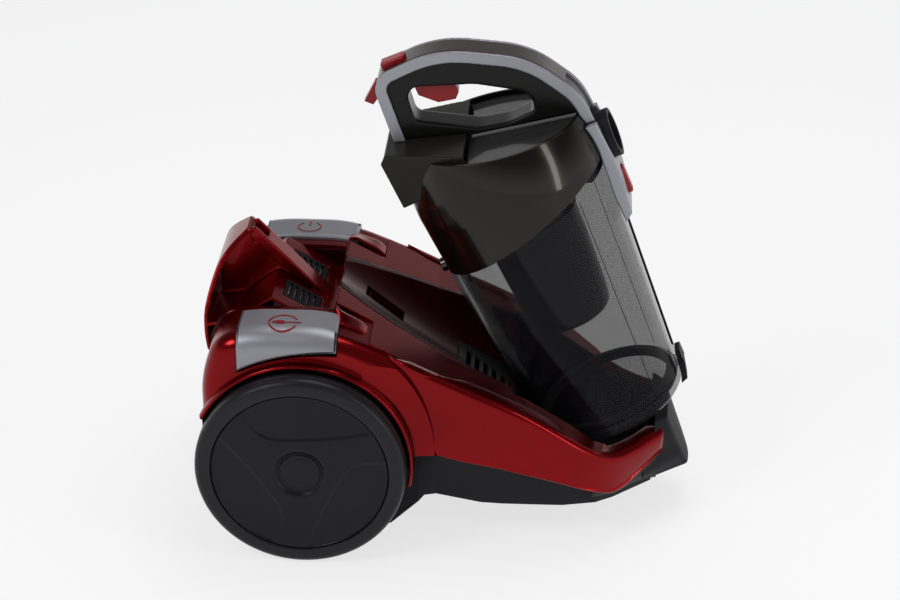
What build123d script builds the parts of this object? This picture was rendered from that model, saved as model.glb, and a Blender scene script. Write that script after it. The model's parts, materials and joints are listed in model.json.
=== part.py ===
from build123d import *
import math
import os

# Bagless cylinder vacuum cleaner with its dust bin tipped forward on the front pivot.
# Millimetres, +X towards the nose, +Y towards the left wheel, +Z up, floor at Z = 0.
# Pieces of the body are drawn from the point on the floor under the rear axle.  Pieces of
# the bin are drawn upright in the bin's own frame (u forwards, v left, w up) from the middle
# of the cup's bottom edge, then leaned back and set on the pivot.  At the end everything
# is moved so that the origin lies under the middle of the whole cleaner.

# ---------------------------------------------------------------- driving dimensions
LENGTH = 450.0            # back of the wheels to the nose tip
TRACK = 290.0             # over the outer faces of the wheels
WHEEL_R = 95.0
WHEEL_WIDTH = 34.0
TREAD_WIDTH = 18.0        # full height band of the tyre
HUB_R = 83.7
AXLE_R = 6.0
WALL = 3.0                # moulded shells
THIN_WALL = 2.5           # clear cup and small mouldings
GAP = 0.3                 # between pieces that do not touch
SLIDE_GAP = 0.5           # round buttons and other sliding pieces
SHAFT_GAP = 0.05          # radial, shafts in their holes
LIP_REACH = 120.0         # outer face of the wheel arches from the middle plane
COWL_ROUND = 16.0         # shoulder of the wheel arch moulding
SILL_REACH = 112.0        # outer face of the side panels
KEEL_REACH = 90.0         # half width of the chassis at the floor
TUB_REACH = 107.5         # outer face of the chassis between the wheels
ARCH_GAP = 5.0            # wheel tread to arch
GROUND_GAP = 27.0         # under the nose tip
CORE_HALF = 62.0          # half width of the rear centre piece
CORE_FRONT = 26.0         # its front edge
BEAM_HALF = 11.0          # half width of the carry handle's beam
PEDAL_IN = 74.0
PEDAL_OUT = 130.0
PEDAL_BACK = -55.0
PEDAL_FRONT = 33.0
PEDAL_T = 6.0
PEDAL_PROUD = 1.2
PEDAL_GAP = 0.8
PEDAL_ANGLE = 3.5
VENT_IN = 15.0
VENT_OUT = 45.0
VENT_LENGTH = 36.0

BIN_LEAN = 23.5           # bin axis from the vertical, top towards the rear
DOCK_TURN = 24.0          # further lean when the bin lies in its cradle
PIVOT_X = 200.0
PIVOT_Z = 79.5
PIVOT_U = -80.0           # the pivot in the bin's own upright frame
PIVOT_W = -4.0
PIN_R = 2.0
BARREL_R = 6.0
BARREL_IN = 28.0
BARREL_OUT = 40.0
LUG_T = 5.0
CUP_R = 71.0              # outside, at the height of the origin
CUP_SLOPE = 0.067         # growth of the radius per millimetre of height
CUP_LOW = -6.0
CUP_TOP = 232.0
COLLAR_T = 2.8
COLLAR_GAP = 0.15
CRADLE_CLEAR = 1.6        # docked collar to cradle
RIM_R = 66.0              # inner edge of the collar at the lid
LID_W = 282.0             # height of the rim at the bin's axis
LID_FALL = 0.16           # the rim falls towards the front
LID_DEPTH = 6.0
SWOOSH_W = 200.0          # height of the collar's lower edge at the axis
SWOOSH_RISE = 0.31        # and its rise towards the front
HANDLE_HALF = 14.0        # half width of the dark handle core
TRIM_OUT = 18.0
TRIM_WIDTH = 10.0
COVER_T = 2.4
HOSE_BORE = 35.0
SOCKET_R = 22.0
SOCKET_W = 236.0
SOCKET_OUT = 103.0        # outer face of the hose socket from the bin's axis
HOSE_SEAT = 93.0          # face inside the socket that the hose end stops against
AIR_PORT_R = 15.5         # hole through that face, the wall and the inlet duct
SPOUT_BACK = 92.0
SPINE_HALF = 22.0
SPINE_T = 3.0
CATCH_W = 171.0
CATCH_R = 6.5
SHROUD_R = 46.0
SHROUD_LOW = 82.0
SHROUD_TOP = 205.0
FILTER_TOP = 252.0
FLAP_LOW = -20.0
FLAP_TOP = -6.6
FLAP_HINGE_U = -76.5
FLAP_HINGE_W = -12.0
KNUCKLE_R = 3.6
SHOE_LOW = -26.0
SHOE_TOP = -20.5
CASTER_R = 13.0
CASTER_X = 262.0
CASTER_TRAIL = 8.0
MOTOR_R = 46.0
MOTOR_Z = 100.0
DRUM_R = 56.0
DRUM_X = -8.0
DRUM_Z = 112.0
SCREW_R = 3.5
ROD_R = 1.2
LATCH_U = 76.0            # pivot of the flap latch
LATCH_W = 4.0

BIG = 900.0
AXLE_Z = WHEEL_R
NOSE_X = LENGTH - WHEEL_R
WHEEL_IN = TRACK / 2 - WHEEL_WIDTH
ARCH_R = WHEEL_R + ARCH_GAP
SILL_FRONT = NOSE_X - 28.0      # front end of the painted panels
WELL_FRONT = NOSE_X - 37.0
WELL_BACK = PIVOT_X - 11.0
WELL_HALF = 76.0
WELL_Z = 57.0
CRADLE_GROW = COLLAR_T + CRADLE_CLEAR

PARTS = {}


# ---------------------------------------------------------------- helpers
def outline(*pieces):
    """A closed face from curves and lists of corner points, in drawing order."""
    edges = []
    last = None
    for piece in pieces:
        curve = Polyline(*piece) if isinstance(piece, list) else piece
        start = curve @ 0
        if last is not None and (last - start).length > 1e-6:
            edges.append(Line(last, start))
        edges.append(curve)
        last = curve @ 1
    first = edges[0] @ 0
    if (last - first).length > 1e-6:
        edges.append(Line(last, first))
    return make_face(edges)


def shifted(points, dx, dz):
    return [(x + dx, z + dz) for x, z in points]


def slab(face, y_low, y_high):
    """A side outline made solid between two distances from the middle plane."""
    return Pos(0, y_high, 0) * extrude(Plane.XZ * face, y_high - y_low)


def turned(points):
    """A solid of revolution about Z from (radius, height) corners."""
    return revolve(Plane.XZ * outline(points), Axis.Z)


def rod(x, z, radius, y_low, y_high):
    """A cylinder along Y."""
    middle = (y_low + y_high) / 2
    return Pos(x, middle, z) * Rot(90, 0, 0) * Cylinder(radius, y_high - y_low)


def tube(x, z, outer, inner, y_low, y_high):
    return rod(x, z, outer, y_low, y_high) - rod(x, z, inner, y_low - 1, y_high + 1)


def block(x_low, x_high, y_low, y_high, z_low, z_high):
    size = (x_high - x_low, y_high - y_low, z_high - z_low)
    middle = ((x_low + x_high) / 2, (y_low + y_high) / 2, (z_low + z_high) / 2)
    return Pos(*middle) * Box(*size)


def post(x, y, radius, z_low, z_high):
    """A cylinder along Z."""
    return Pos(x, y, (z_low + z_high) / 2) * Cylinder(radius, z_high - z_low)


def mirrored(shape):
    """The same piece on the other side of the middle plane."""
    return mirror(shape, Plane.XZ)


def two_sided(shape):
    return shape + mirrored(shape)


def keep(name, shape, frame="body"):
    PARTS[name] = (shape, frame)


def both(name, shape):
    """One node on the right (-Y) side and its twin on the left."""
    keep(name + "_right", shape)
    keep(name + "_left", mirrored(shape))


def cup_r(w):
    return CUP_R + CUP_SLOPE * w


def cone(extra, w_low, w_high):
    """The cup's outer cone, grown by extra, as a solid in the bin's frame."""
    low, high = cup_r(w_low) + extra, cup_r(w_high) + extra
    return turned([(0, w_low), (low, w_low), (high, w_high), (0, w_high)])


def above(height, slope):
    """Everything above a plane that passes the bin's axis at height and rises forwards."""
    lean = math.degrees(math.atan(slope))
    return Pos(0, 0, height) * Rot(0, -lean, 0) * Pos(0, 0, BIG / 2) * Box(BIG, BIG, BIG)


def seat(turn=0.0):
    """Placement of the bin's frame in the body, turned back towards its dock."""
    at = Pos(PIVOT_X, 0, PIVOT_Z) * Rot(0, -BIN_LEAN - turn, 0)
    return at * Pos(-PIVOT_U, 0, -PIVOT_W)


def cradle(extra):
    """The docked bin's cone grown to the cradle's face, or beyond it by extra."""
    return seat(DOCK_TURN) * cone(CRADLE_GROW + extra, -60, 320)


# ---------------------------------------------------------------- shared body lines
DECK = [(CORE_FRONT + 2.3, 226), (61, 208), (112, 182), (158, 161), (200, 141), (236, 119),
        (281, 86), (SILL_FRONT, 83)]
SILL_LOW = [(119, 99), (178, 86), (232, 71), (269, 57), (281, 50), (SILL_FRONT, 55)]
COWL_TOP = FilletPolyline((-90, 100), (-90, 172), (-76, 214), (-40, 221), (26, 221), (76, 200),
                          radius=[120, 30, 150, 120])
SPLIT = ThreePointArc((76, 200), (109, 152), (119, 99))
COWL_FACE = outline(COWL_TOP, SPLIT)


def plan(reach, inset=0.0):
    """Closed plan of the body at a half width, shrunk by inset."""
    side = reach - inset
    back = TUB_REACH - inset
    nose = SILL_FRONT - inset * 0.5
    half = [(-84 + inset, -back + 22), (-66, -back), (104, -back), (119, -side), (180, -side),
            (235, -side + 4), (265, -side + 12), (281 - inset * 0.4, -side + 23),
            (nose, -side + 66)]
    return Polyline(*half, *[(x, -y) for x, y in reversed(half)], close=True)


def plan_prism(reach, inset, z_low, z_high):
    return Pos(0, 0, z_low) * extrude(make_face(plan(reach, inset)), z_high - z_low)


def hull(inset):
    """The chassis's tapering plan, narrower at the floor."""
    low = Plane.XY.offset(20) * make_face(plan(KEEL_REACH, inset))
    high = Plane.XY.offset(100) * make_face(plan(SILL_REACH - GAP, inset))
    return loft([low, high], ruled=True)


def under_deck(drop, depth):
    """Band of the given depth under the deck line, as a face."""
    top = shifted(DECK, 0, -drop)
    return outline(top + shifted(list(reversed(DECK)), 0, -drop - depth))


# ---------------------------------------------------------------- body: chassis
def lower_chassis():
    back = [(-84, 96), (-66, 45), (-52, 24), (78, 22), (109, 52), (160, 40), (220, 37),
            (270, 35), (WELL_FRONT - 1, 33)]
    front = [(WELL_FRONT - 1, 54)] + shifted(list(reversed(SILL_LOW[:-1])), 0, -GAP)
    shell = slab(outline(back + front + [(100, 96)]), -BIG / 4, BIG / 4) & hull(0)
    core = [(-80.5, 110), (-63, 46), (-50, 24 + WALL), (77, 22 + WALL), (108, 52 + WALL),
            (160, 40 + WALL), (220, 37 + WALL), (270, 35 + WALL),
            (WELL_FRONT - 1 - WALL, 33 + WALL), (WELL_FRONT - 1 - WALL, 110)]
    hollow = slab(outline(core), -BIG / 4, BIG / 4) & hull(WALL)
    shell -= hollow
    for x in (-36, 36):
        for y in (-16, 22):
            shell += block(x - 5, x + 5, y - 4, y + 4, 24, MOTOR_Z)
    shell -= rod(0, MOTOR_Z, MOTOR_R + WALL + 0.2, -60, 60)
    shell += block(DRUM_X - 9, DRUM_X + 9, -59, -56, 24, DRUM_Z + 9)
    shell += block(DRUM_X - 9, DRUM_X + 9, -103.5, -100, AXLE_Z + 15, DRUM_Z + 9)
    shell += block(DRUM_X - 9, DRUM_X + 9, -105, -102.5, AXLE_Z - 5, DRUM_Z + 9)
    shell -= rod(DRUM_X, DRUM_Z, AXLE_R - 1 + SHAFT_GAP, -104, -50)
    boss = rod(0, AXLE_Z - 14, 12, -WHEEL_IN + 0.6, -TUB_REACH + 0.5)
    cheek = block(-16, 16, -WHEEL_IN + 0.6, -TUB_REACH + WALL, AXLE_Z - 16, AXLE_Z + 16)
    shell += two_sided(cheek + boss)
    shell -= two_sided(rod(0, AXLE_Z, AXLE_R + SHAFT_GAP, -130, -90))
    shell -= two_sided(block(-14, 14, -TUB_REACH + WALL, -100, AXLE_Z - 14, AXLE_Z + 14))
    for x in (-40, 60):
        for y in (-60, 60):
            shell += post(x, y, 6, 24.5, 36)
    shell -= chassis_screws(0.2)
    shell += post(CASTER_X, 0, 9, 33.3, 50)
    shell -= post(CASTER_X, 0, 5 + SHAFT_GAP, 20, 60)
    return shell


def nose_bumper():
    face = outline([(SILL_FRONT + GAP, 98), (SILL_FRONT + 4, 101), (NOSE_X - 1, 32),
                    (NOSE_X, GROUND_GAP), (NOSE_X - 8, GROUND_GAP), (WELL_FRONT - 1 + GAP, 31),
                    (WELL_FRONT - 1 + GAP, 53), (SILL_FRONT + GAP, 54.2)])
    half = [(WELL_FRONT - 2, -60), (SILL_FRONT, -47), (NOSE_X, -9)]
    foot = Polyline(*half, *[(x, -y) for x, y in reversed(half)], close=True)
    body = slab(face, -70, 70) & extrude(make_face(foot), 120)
    pocket = block(SILL_FRONT - 20, SILL_FRONT + 9, -30, 30, 60, 78)
    return body - pocket


def side_panel():
    top = [(80, 198)] + DECK[2:]
    front = list(reversed(SILL_LOW))
    split = ThreePointArc((119 + GAP, 99), (109 + GAP, 152), (77, 199.6))
    face = outline(top + front, split)
    wall = plan_prism(SILL_REACH, 0, 40, 210) - plan_prism(SILL_REACH, WALL, 30, 220)
    panel = slab(face, -BIG / 4, 0) & wall
    panel &= block(60, BIG, -BIG, -GAP, 0, BIG)
    return panel


def cowl_solid(inset, grow=0.0):
    """The wheel arch moulding's outer body on the right side, shrunk or grown all round."""
    face = COWL_FACE if inset == grow else offset(COWL_FACE, grow - inset)
    reach = LIP_REACH - inset + grow
    inner = CORE_HALF + GAP - (1 if inset else 0)
    solid = slab(face, -reach, -inner)
    rim = solid.edges().filter_by_position(Axis.Y, -reach - 0.01, -reach + 0.01)
    top = [edge for edge in rim if edge.center().X < 80 and edge.center().Z > 110]
    return fillet(top, COWL_ROUND - inset + grow)


def cowl_plan(inset):
    """Plan of the moulding: it draws in to the side panels' width at its front end."""
    face = make_face(Polyline((-120, -LIP_REACH + inset), (56, -LIP_REACH + inset),
                              (120, -SILL_REACH + inset), (120, 0), (-120, 0), close=True))
    return extrude(face, 300)


def pedal_region(extra):
    """Side outline of a pedal: everything above its lower edge."""
    low = ThreePointArc((PEDAL_BACK - extra, 187 - extra), (-15, 202 - extra),
                        (PEDAL_FRONT + extra, 206 - extra))
    face = outline(low, [(PEDAL_FRONT + extra, 240), (PEDAL_BACK - extra, 240)])
    return slab(face, -PEDAL_OUT - 10, -PEDAL_IN + extra)


def pedal(extra=0.0):
    """A pedal on the right side, or the opening that it moves in, grown by extra."""
    outer = cowl_solid(0, PEDAL_PROUD + extra)
    inner = cowl_solid(PEDAL_T - PEDAL_PROUD + extra)
    return (outer - inner) & pedal_region(extra)


def pressed(shape, angle):
    """A right-hand piece turned about the pedal's hinge along its inner edge."""
    return Pos(0, -PEDAL_IN, 216) * Rot(angle, 0, 0) * Pos(0, PEDAL_IN, -216) * shape


def upper_shell():
    shell = cowl_solid(0) & cowl_plan(0)
    shell -= cowl_solid(WALL) & cowl_plan(WALL)
    shell -= block(WALL - 90, 80, WALL - LIP_REACH, -CORE_HALF, 90, 106)
    shell -= block(60, 125, WALL - LIP_REACH, -CORE_HALF, 90, 190) & cowl_plan(WALL)
    shell -= rod(0, AXLE_Z, ARCH_R, -BIG / 4, -100)
    barrel = tube(0, AXLE_Z, ARCH_R + WALL, ARCH_R, -LIP_REACH + WALL + 0.5, -TUB_REACH - 0.5)
    shell += barrel & cowl_solid(1) & block(-120, 119, -130, -100, 97, 250)
    band = slab(under_deck(0, WALL), -BIG / 4, -1) & plan_prism(SILL_REACH, WALL + GAP, 0, 300)
    band -= cradle(WALL + GAP)
    well = WELL_HALF + WALL + GAP
    well_plan = Polyline((WELL_BACK - WALL - GAP, -well), (262, -well), (WELL_FRONT, -38),
                         (WELL_FRONT, 0), (WELL_BACK - WALL - GAP, 0), close=True)
    band -= extrude(make_face(well_plan), 300)
    band -= block(-200, 61, -200, -CORE_HALF - GAP, 0, 300)
    shell += band
    shell -= pedal_cut()
    return shell


def pedal_cut():
    """Room for the pedal from rest to fully pressed."""
    room = pedal(PEDAL_GAP)
    return room + pressed(room, PEDAL_ANGLE / 2) + pressed(room, PEDAL_ANGLE)


# ---------------------------------------------------------------- body: rear centre
VALLEY_BACK = (-31, 229)
VALLEY_FRONT = (18, 201)
VALLEY_FALL = math.degrees(math.atan2(VALLEY_BACK[1] - VALLEY_FRONT[1],
                                      VALLEY_FRONT[0] - VALLEY_BACK[0]))


def on_valley(depth):
    """Frame in the middle of the sloping vent floor, depth below its face."""
    x = (VALLEY_BACK[0] + VALLEY_FRONT[0]) / 2
    z = (VALLEY_BACK[1] + VALLEY_FRONT[1]) / 2
    return Pos(x, 0, z) * Rot(0, VALLEY_FALL, 0) * Pos(0, 0, -depth)


def rear_handle():
    back = Spline((-91, 173), (-93, 202), (-88, 232), (-78, 254), (-63, 269), (-57, 274))
    front = Spline((-53.5, 270.5), (-60, 266), (-75, 250), (-84, 231), (-89, 202), (-87.5, 173))
    wall = slab(outline(back, front), -CORE_HALF, CORE_HALF)
    rim = Polyline((-CORE_HALF, 170), (-CORE_HALF, 217), (-45, 237), (-30, 255), (-15, 272),
                   (-6, 278), (6, 278), (15, 272), (30, 255), (45, 237), (CORE_HALF, 217),
                   (CORE_HALF, 170), close=True)
    wall &= Pos(200, 0, 0) * extrude(Plane.YZ * make_face(rim), -400)
    floor = [(-88, 201), (-62, 205), (-42, 222), VALLEY_BACK, VALLEY_FRONT, (CORE_FRONT, 203)]
    skin = slab(outline(floor + shifted(list(reversed(floor)), 0, -WALL)), -CORE_HALF, CORE_HALF)
    top = [(-58, 271), (-50, 273), (-21, 243), (19, 200.5)]
    beam = slab(outline(top + [(14, 203), (-28, 234), (-54, 262)]), -BEAM_HALF, BEAM_HALF)
    web = [(-86, 200), (-84, 236), (-56, 268), (19, 200), (-31, 228), (-42, 221), (-62, 204)]
    handle = wall + skin + beam + slab(outline(web), -WALL, WALL)
    slot = block(-52, -40, -7, 7, 255, 290)
    handle -= slot
    window = Box(VENT_LENGTH + 2 * GAP, VENT_OUT - VENT_IN + 2 * GAP, 30)
    for side in (-1, 1):
        handle -= on_valley(0) * Pos(0, side * (VENT_IN + VENT_OUT) / 2, 0) * window
    return handle


def vent():
    width = VENT_OUT - VENT_IN
    plate = Pos(0, 0, -WALL / 2) * Box(VENT_LENGTH, width, WALL)
    for row in range(5):
        x = (row - 2) * 6.2
        plate -= Pos(x, 0, 0) * Rot(0, 30, 0) * Box(2.6, width - 8, 14)
    return on_valley(0) * Pos(0, -(VENT_IN + VENT_OUT) / 2, 0) * plate


def exhaust_filter():
    return on_valley(WALL + 0.2 + 5) * Box(VENT_LENGTH + 6, 2 * VENT_OUT + 6, 10)


def tail_panel():
    panel = block(-90, -87, -CORE_HALF + GAP, CORE_HALF - GAP, 96.5, 172.6)
    return panel - Pos(-88, -30, 130) * Rot(0, 90, 0) * Cylinder(11, 20)


def cord_outlet():
    ring = Rot(0, 90, 0) * (Cylinder(13, 2.5) - Cylinder(7, 5))
    sleeve = Rot(0, 90, 0) * (Cylinder(11 - 0.1, 6) - Cylinder(7, 10))
    return Pos(-91.3, -30, 130) * ring + Pos(-88, -30, 130) * sleeve


# ---------------------------------------------------------------- body: cradle and well
GRILLE = [(133, 24), (182, 33)]


def grille_prism(inset):
    (x0, h0), (x1, h1) = GRILLE
    corners = [(x0 + inset, -h0 + inset), (x1 - inset, -h1 + inset), (x1 - inset, h1 - inset),
               (x0 + inset, h0 - inset)]
    return extrude(make_face(Polyline(*corners, close=True)), 300)


def trough():
    """The cradle's curved skin, not yet cut to its parts."""
    below = outline(DECK[:5] + [(200, 40), (DECK[0][0], 40)])
    return slab(below, -BIG / 4, BIG / 4) & (cradle(WALL) - cradle(0))


def bonnet():
    panel = trough() & block(DECK[0][0], WELL_BACK - WALL - GAP, -120, 120, 60, 260)
    panel -= grille_prism(0)
    catch = Box(34, 2 * CATCH_R + 5, 60)
    return panel - Pos(66, 0, 195) * catch


def inlet_grille():
    grille = trough() & grille_prism(GAP)
    for row in range(6):
        x = GRILLE[0][0] + 8 + row * 8
        grille -= block(x, x + 4, -18, 18, 60, 260)
    return grille


def bin_well():
    well_plan = Polyline((WELL_BACK - WALL, -WELL_HALF - WALL), (262, -WELL_HALF - WALL),
                         (WELL_FRONT - 4.5, -40), (WELL_FRONT - 4.5, 40),
                         (262, WELL_HALF + WALL), (WELL_BACK - WALL, WELL_HALF + WALL),
                         close=True)
    inner = Polyline((WELL_BACK, -WELL_HALF), (261, -WELL_HALF), (WELL_FRONT - 7.5, -38.5),
                     (WELL_FRONT - 7.5, 38.5), (261, WELL_HALF), (WELL_BACK, WELL_HALF),
                     close=True)
    tray = extrude(make_face(well_plan), 300) - Pos(0, 0, WELL_Z) * extrude(make_face(inner), 300)
    below = outline(shifted(DECK[3:], 0, -WALL - GAP) + [(SILL_FRONT, WELL_Z - WALL),
                                                        (150, WELL_Z - WALL)])
    tray &= slab(below, -BIG / 4, BIG / 4)
    tray -= cradle(0)
    for side in (-1, 1):
        y = side * (BARREL_OUT + 0.5 + LUG_T / 2)
        lug = Pos(PIVOT_X, y, (WELL_Z + PIVOT_Z) / 2) * Box(14, LUG_T, PIVOT_Z - WELL_Z + 2)
        lug += rod(PIVOT_X, PIVOT_Z, 7, y - LUG_T / 2, y + LUG_T / 2)
        tray += lug
    tray -= rod(PIVOT_X, PIVOT_Z, PIN_R + SHAFT_GAP, -60, 60)
    return tray


def pivot_pins():
    return two_sided(rod(PIVOT_X, PIVOT_Z, PIN_R, -BARREL_OUT - LUG_T, -BARREL_IN))


# ---------------------------------------------------------------- body: insides
def motor_can():
    can = rod(0, MOTOR_Z, MOTOR_R, -32, 40) - rod(0, MOTOR_Z, MOTOR_R - WALL, -29, 37)
    can += tube(0, MOTOR_Z, 9, 3, 31, 45)
    return can - rod(0, MOTOR_Z, 3 + SHAFT_GAP, -60, 60)


def fan_housing():
    cover = rod(0, MOTOR_Z, MOTOR_R + 4, -49, -32.2) - rod(0, MOTOR_Z, MOTOR_R + 1, -47, -34.2)
    cover -= rod(0, MOTOR_Z, 16, -60, -40)
    return cover - rod(0, MOTOR_Z, 3 + SHAFT_GAP, -60, -20)


def rotor():
    spindle = rod(0, MOTOR_Z, 3, -46, 44)
    fan = rod(0, MOTOR_Z, MOTOR_R - 2, -45, -43) + rod(0, MOTOR_Z, 14, -43, -37)
    for blade in range(9):
        piece = Pos(27, 0, 0) * Box(30, 6, 1.6)
        fan += Pos(0, -40, MOTOR_Z) * Rot(0, blade * 40, 0) * piece
    return spindle + fan + rod(0, MOTOR_Z, 24, -18, 26)


def motor_mounts():
    rings = tube(0, MOTOR_Z, MOTOR_R + WALL, MOTOR_R + 0.1, -20, -12)
    return rings + tube(0, MOTOR_Z, MOTOR_R + WALL, MOTOR_R + 0.1, 18, 26)


def cord_drum():
    drum = rod(DRUM_X, DRUM_Z, 30, -97, -62)
    drum += rod(DRUM_X, DRUM_Z, DRUM_R, -99, -97) + rod(DRUM_X, DRUM_Z, DRUM_R, -62, -60)
    return drum - rod(DRUM_X, DRUM_Z, AXLE_R - 1 + SHAFT_GAP, -110, -50)


def drum_axle():
    return rod(DRUM_X, DRUM_Z, AXLE_R - 1, -102.5, -56)


def axle_stubs():
    stub = rod(0, AXLE_Z, AXLE_R, -TRACK / 2 + 3, -101.5) + rod(0, AXLE_Z, 10, -104.3, -101.5)
    return two_sided(stub)


def chassis_screws(extra=0.0):
    """Four screws up through the chassis floor, or their holes when grown by extra."""
    screws = None
    for x in (-40, 60):
        for y in (-60, 60):
            head = post(x, y, SCREW_R + extra, 20, 26 + extra)
            screw = head + post(x, y, 1.6 + extra, 25, 34 + extra)
            screws = screw if screws is None else screws + screw
    return screws & block(-60, 80, -80, 80, 24.4 - extra * 20, 40)


# ---------------------------------------------------------------- wheels
def wheel_turned(points):
    """A right-hand wheel part from (radius, distance from the middle plane) corners."""
    return Pos(0, 0, AXLE_Z) * Rot(90, 0, 0) * turned(points)


def tyre():
    face = TRACK / 2
    inner = face - TREAD_WIDTH
    return wheel_turned([(HUB_R + 0.1, inner), (WHEEL_R - 2, inner), (WHEEL_R, inner + 2),
                         (WHEEL_R, face - 5), (WHEEL_R - 3.5, face - 1), (WHEEL_R - 6, face),
                         (HUB_R + 3, face), (HUB_R + 0.1, face - 2)])


def swirl(turn):
    """One curved raised spoke of the hub."""
    rise = ThreePointArc((20, 8), (46, 22), (64, 46))
    fall = ThreePointArc((74, 30), (56, 4), (20, -8))
    face = outline(rise, fall)
    return Rot(0, 0, turn) * extrude(face, 1.0)


def hub():
    face = TRACK / 2 - 3
    disc = turned([(AXLE_R + SHAFT_GAP, WHEEL_IN + 2), (14, WHEEL_IN + 2), (14, face - 3),
                   (HUB_R - 3, face - 3), (HUB_R - 3, WHEEL_IN + 6), (HUB_R, WHEEL_IN + 6),
                   (HUB_R, face - 1.5), (HUB_R - 2.5, face), (26, face), (24, face - 2),
                   (AXLE_R + SHAFT_GAP, face - 2)])
    for turn in (20, 140, 260):
        disc += Pos(0, 0, face - 0.01) * swirl(turn)
    return Pos(0, 0, AXLE_Z) * Rot(90, 0, 0) * disc


def cap():
    face = TRACK / 2 - 3
    return wheel_turned([(0, face + 0.3), (12, face + 0.3), (12, face - 1.8), (18, face - 1.8),
                         (18, face + 1.2), (16.5, face + 2), (0, face + 2)])


def caster_fork():
    axle_x = CASTER_X - CASTER_TRAIL
    crown = block(axle_x - 8, CASTER_X + 8, -12, 12, 28.5, 33)
    fork = crown + post(CASTER_X, 0, 5, 28, 48)
    for side in (-1, 1):
        y = side * 10.5
        fork += block(axle_x - 6, axle_x + 6, y - 1.5, y + 1.5, CASTER_R, 30)
        fork += rod(axle_x, CASTER_R, 6, y - 1.5, y + 1.5)
    return fork - rod(axle_x, CASTER_R, PIN_R + SHAFT_GAP, -20, 20)


def caster_wheel():
    axle_x = CASTER_X - CASTER_TRAIL
    wheel = rod(axle_x, CASTER_R, CASTER_R, -8, 8)
    return wheel - rod(axle_x, CASTER_R, PIN_R + SHAFT_GAP, -20, 20)


def caster_axle():
    return rod(CASTER_X - CASTER_TRAIL, CASTER_R, PIN_R, -12, 12)


# ---------------------------------------------------------------- bin: cup and collar
def dome_points(inset):
    """Outer line of the collar from the cup's top over to the rim, as curve ends."""
    base = cup_r(CUP_TOP) + COLLAR_GAP + COLLAR_T - inset
    return [(base, CUP_TOP), (RIM_R + 18.5 - inset, 266), (RIM_R + 3 - inset, 298)]


def dome(inset):
    """Solid inside the collar's outer face, shrunk by inset."""
    low = 140.0
    foot = cup_r(low) + COLLAR_GAP + COLLAR_T - inset
    points = dome_points(inset)
    face = outline([(0, 298), (0, low), (foot, low), points[0]], ThreePointArc(*points))
    return revolve(Plane.XZ * face, Axis.Z)


def spout_box(inset):
    side = [(-18, 288), (-85, 307), (-SPOUT_BACK, 300), (-90, 254), (-18, 267)]
    if inset:
        side = [(-10, 283), (-85, 304), (-SPOUT_BACK - 9, 304), (-SPOUT_BACK - 9, 257),
                (-88, 257), (-10, 271)]
    half = [(-5, 66 - inset), (-30, 62 - inset), (-SPOUT_BACK - 12, 40 - inset)]
    corners = [(x, -y) for x, y in half] + [(x, y) for x, y in reversed(half)]
    prism = extrude(make_face(Polyline(*corners, close=True)), 400)
    return slab(outline(side), -90, 90) & prism


def bore(radius, u_low, u_high):
    """A cylinder along u at the hose socket's height."""
    middle = (u_low + u_high) / 2
    return Pos(middle, 0, SOCKET_W) * Rot(0, 90, 0) * Cylinder(radius, u_high - u_low)


def cup():
    shell = cone(0, CUP_LOW, CUP_TOP) - cone(-THIN_WALL, CUP_LOW - 1, CUP_TOP + 1)
    for side in (-1, 1):
        ear = rod(FLAP_HINGE_U, FLAP_HINGE_W, KNUCKLE_R, 16, 22)
        ear += block(FLAP_HINGE_U - KNUCKLE_R, -68, 16, 22, FLAP_HINGE_W, CUP_LOW + 12)
        ear -= cone(-THIN_WALL, -40, 60)
        shell += ear if side > 0 else mirrored(ear)
    shell -= block(FLAP_HINGE_U, -40, -30, 30, -30, CUP_LOW) & cone(0.4, -40, 0)
    shell -= rod(FLAP_HINGE_U, FLAP_HINGE_W, 1.5 + SHAFT_GAP, -40, 40)
    shell -= bore(AIR_PORT_R, 30, 120)
    return shell


def collar():
    shell = dome(0) - dome(COLLAR_T)
    shell -= cone(COLLAR_GAP, 100, CUP_TOP + 0.2)
    shell &= above(SWOOSH_W, SWOOSH_RISE)
    shell -= above(LID_W, -LID_FALL)
    shell -= spout_box(0)
    shell -= slab(outline([(-18, 267), (-120, 250), (-120, 330), (-18, 330)]), -30, 30)
    return shell - bore(AIR_PORT_R, 30, 120)


def lid():
    plate = dome(COLLAR_T + 0.2) & above(LID_W - LID_DEPTH - WALL, -LID_FALL)
    plate -= above(LID_W - LID_DEPTH, -LID_FALL)
    return plate - spout_cover()


def spout_cover():
    """The spout's outer body with a little room, for what it passes through."""
    return spout_box(0) + Pos(0, 0, -0.2) * spout_box(0) + Pos(0, 0, 0.2) * spout_box(0)


def spout():
    return spout_box(0) - spout_box(WALL)


def spout_seal():
    frame = spout_box(0) & block(-SPOUT_BACK - 1, -SPOUT_BACK + 3, -90, 90, 250, 310)
    return Pos(-3, 0, 0) * (frame - spout_box(WALL + 2))


def back_spine():
    strip = cone(SPINE_T + 0.1, 10, 178) - cone(0.1, 0, 190)
    strip &= block(-120, 0, -SPINE_HALF, SPINE_HALF, 0, 200)
    boss = Pos(-86, 0, CATCH_W) * Rot(0, 90, 0) * Cylinder(CATCH_R, 12)
    collar_edge = cone(COLLAR_GAP + COLLAR_T + 0.2, 150, 200) & above(SWOOSH_W - GAP, SWOOSH_RISE)
    return (strip + (boss - cone(0.1, 0, 190))) - collar_edge


# ---------------------------------------------------------------- bin: insides
def cyclone_shroud():
    tube_body = turned([(SHROUD_R - 2, SHROUD_LOW), (SHROUD_R, SHROUD_LOW),
                        (SHROUD_R, SHROUD_TOP), (SHROUD_R - 2, SHROUD_TOP)])
    return tube_body


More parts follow.
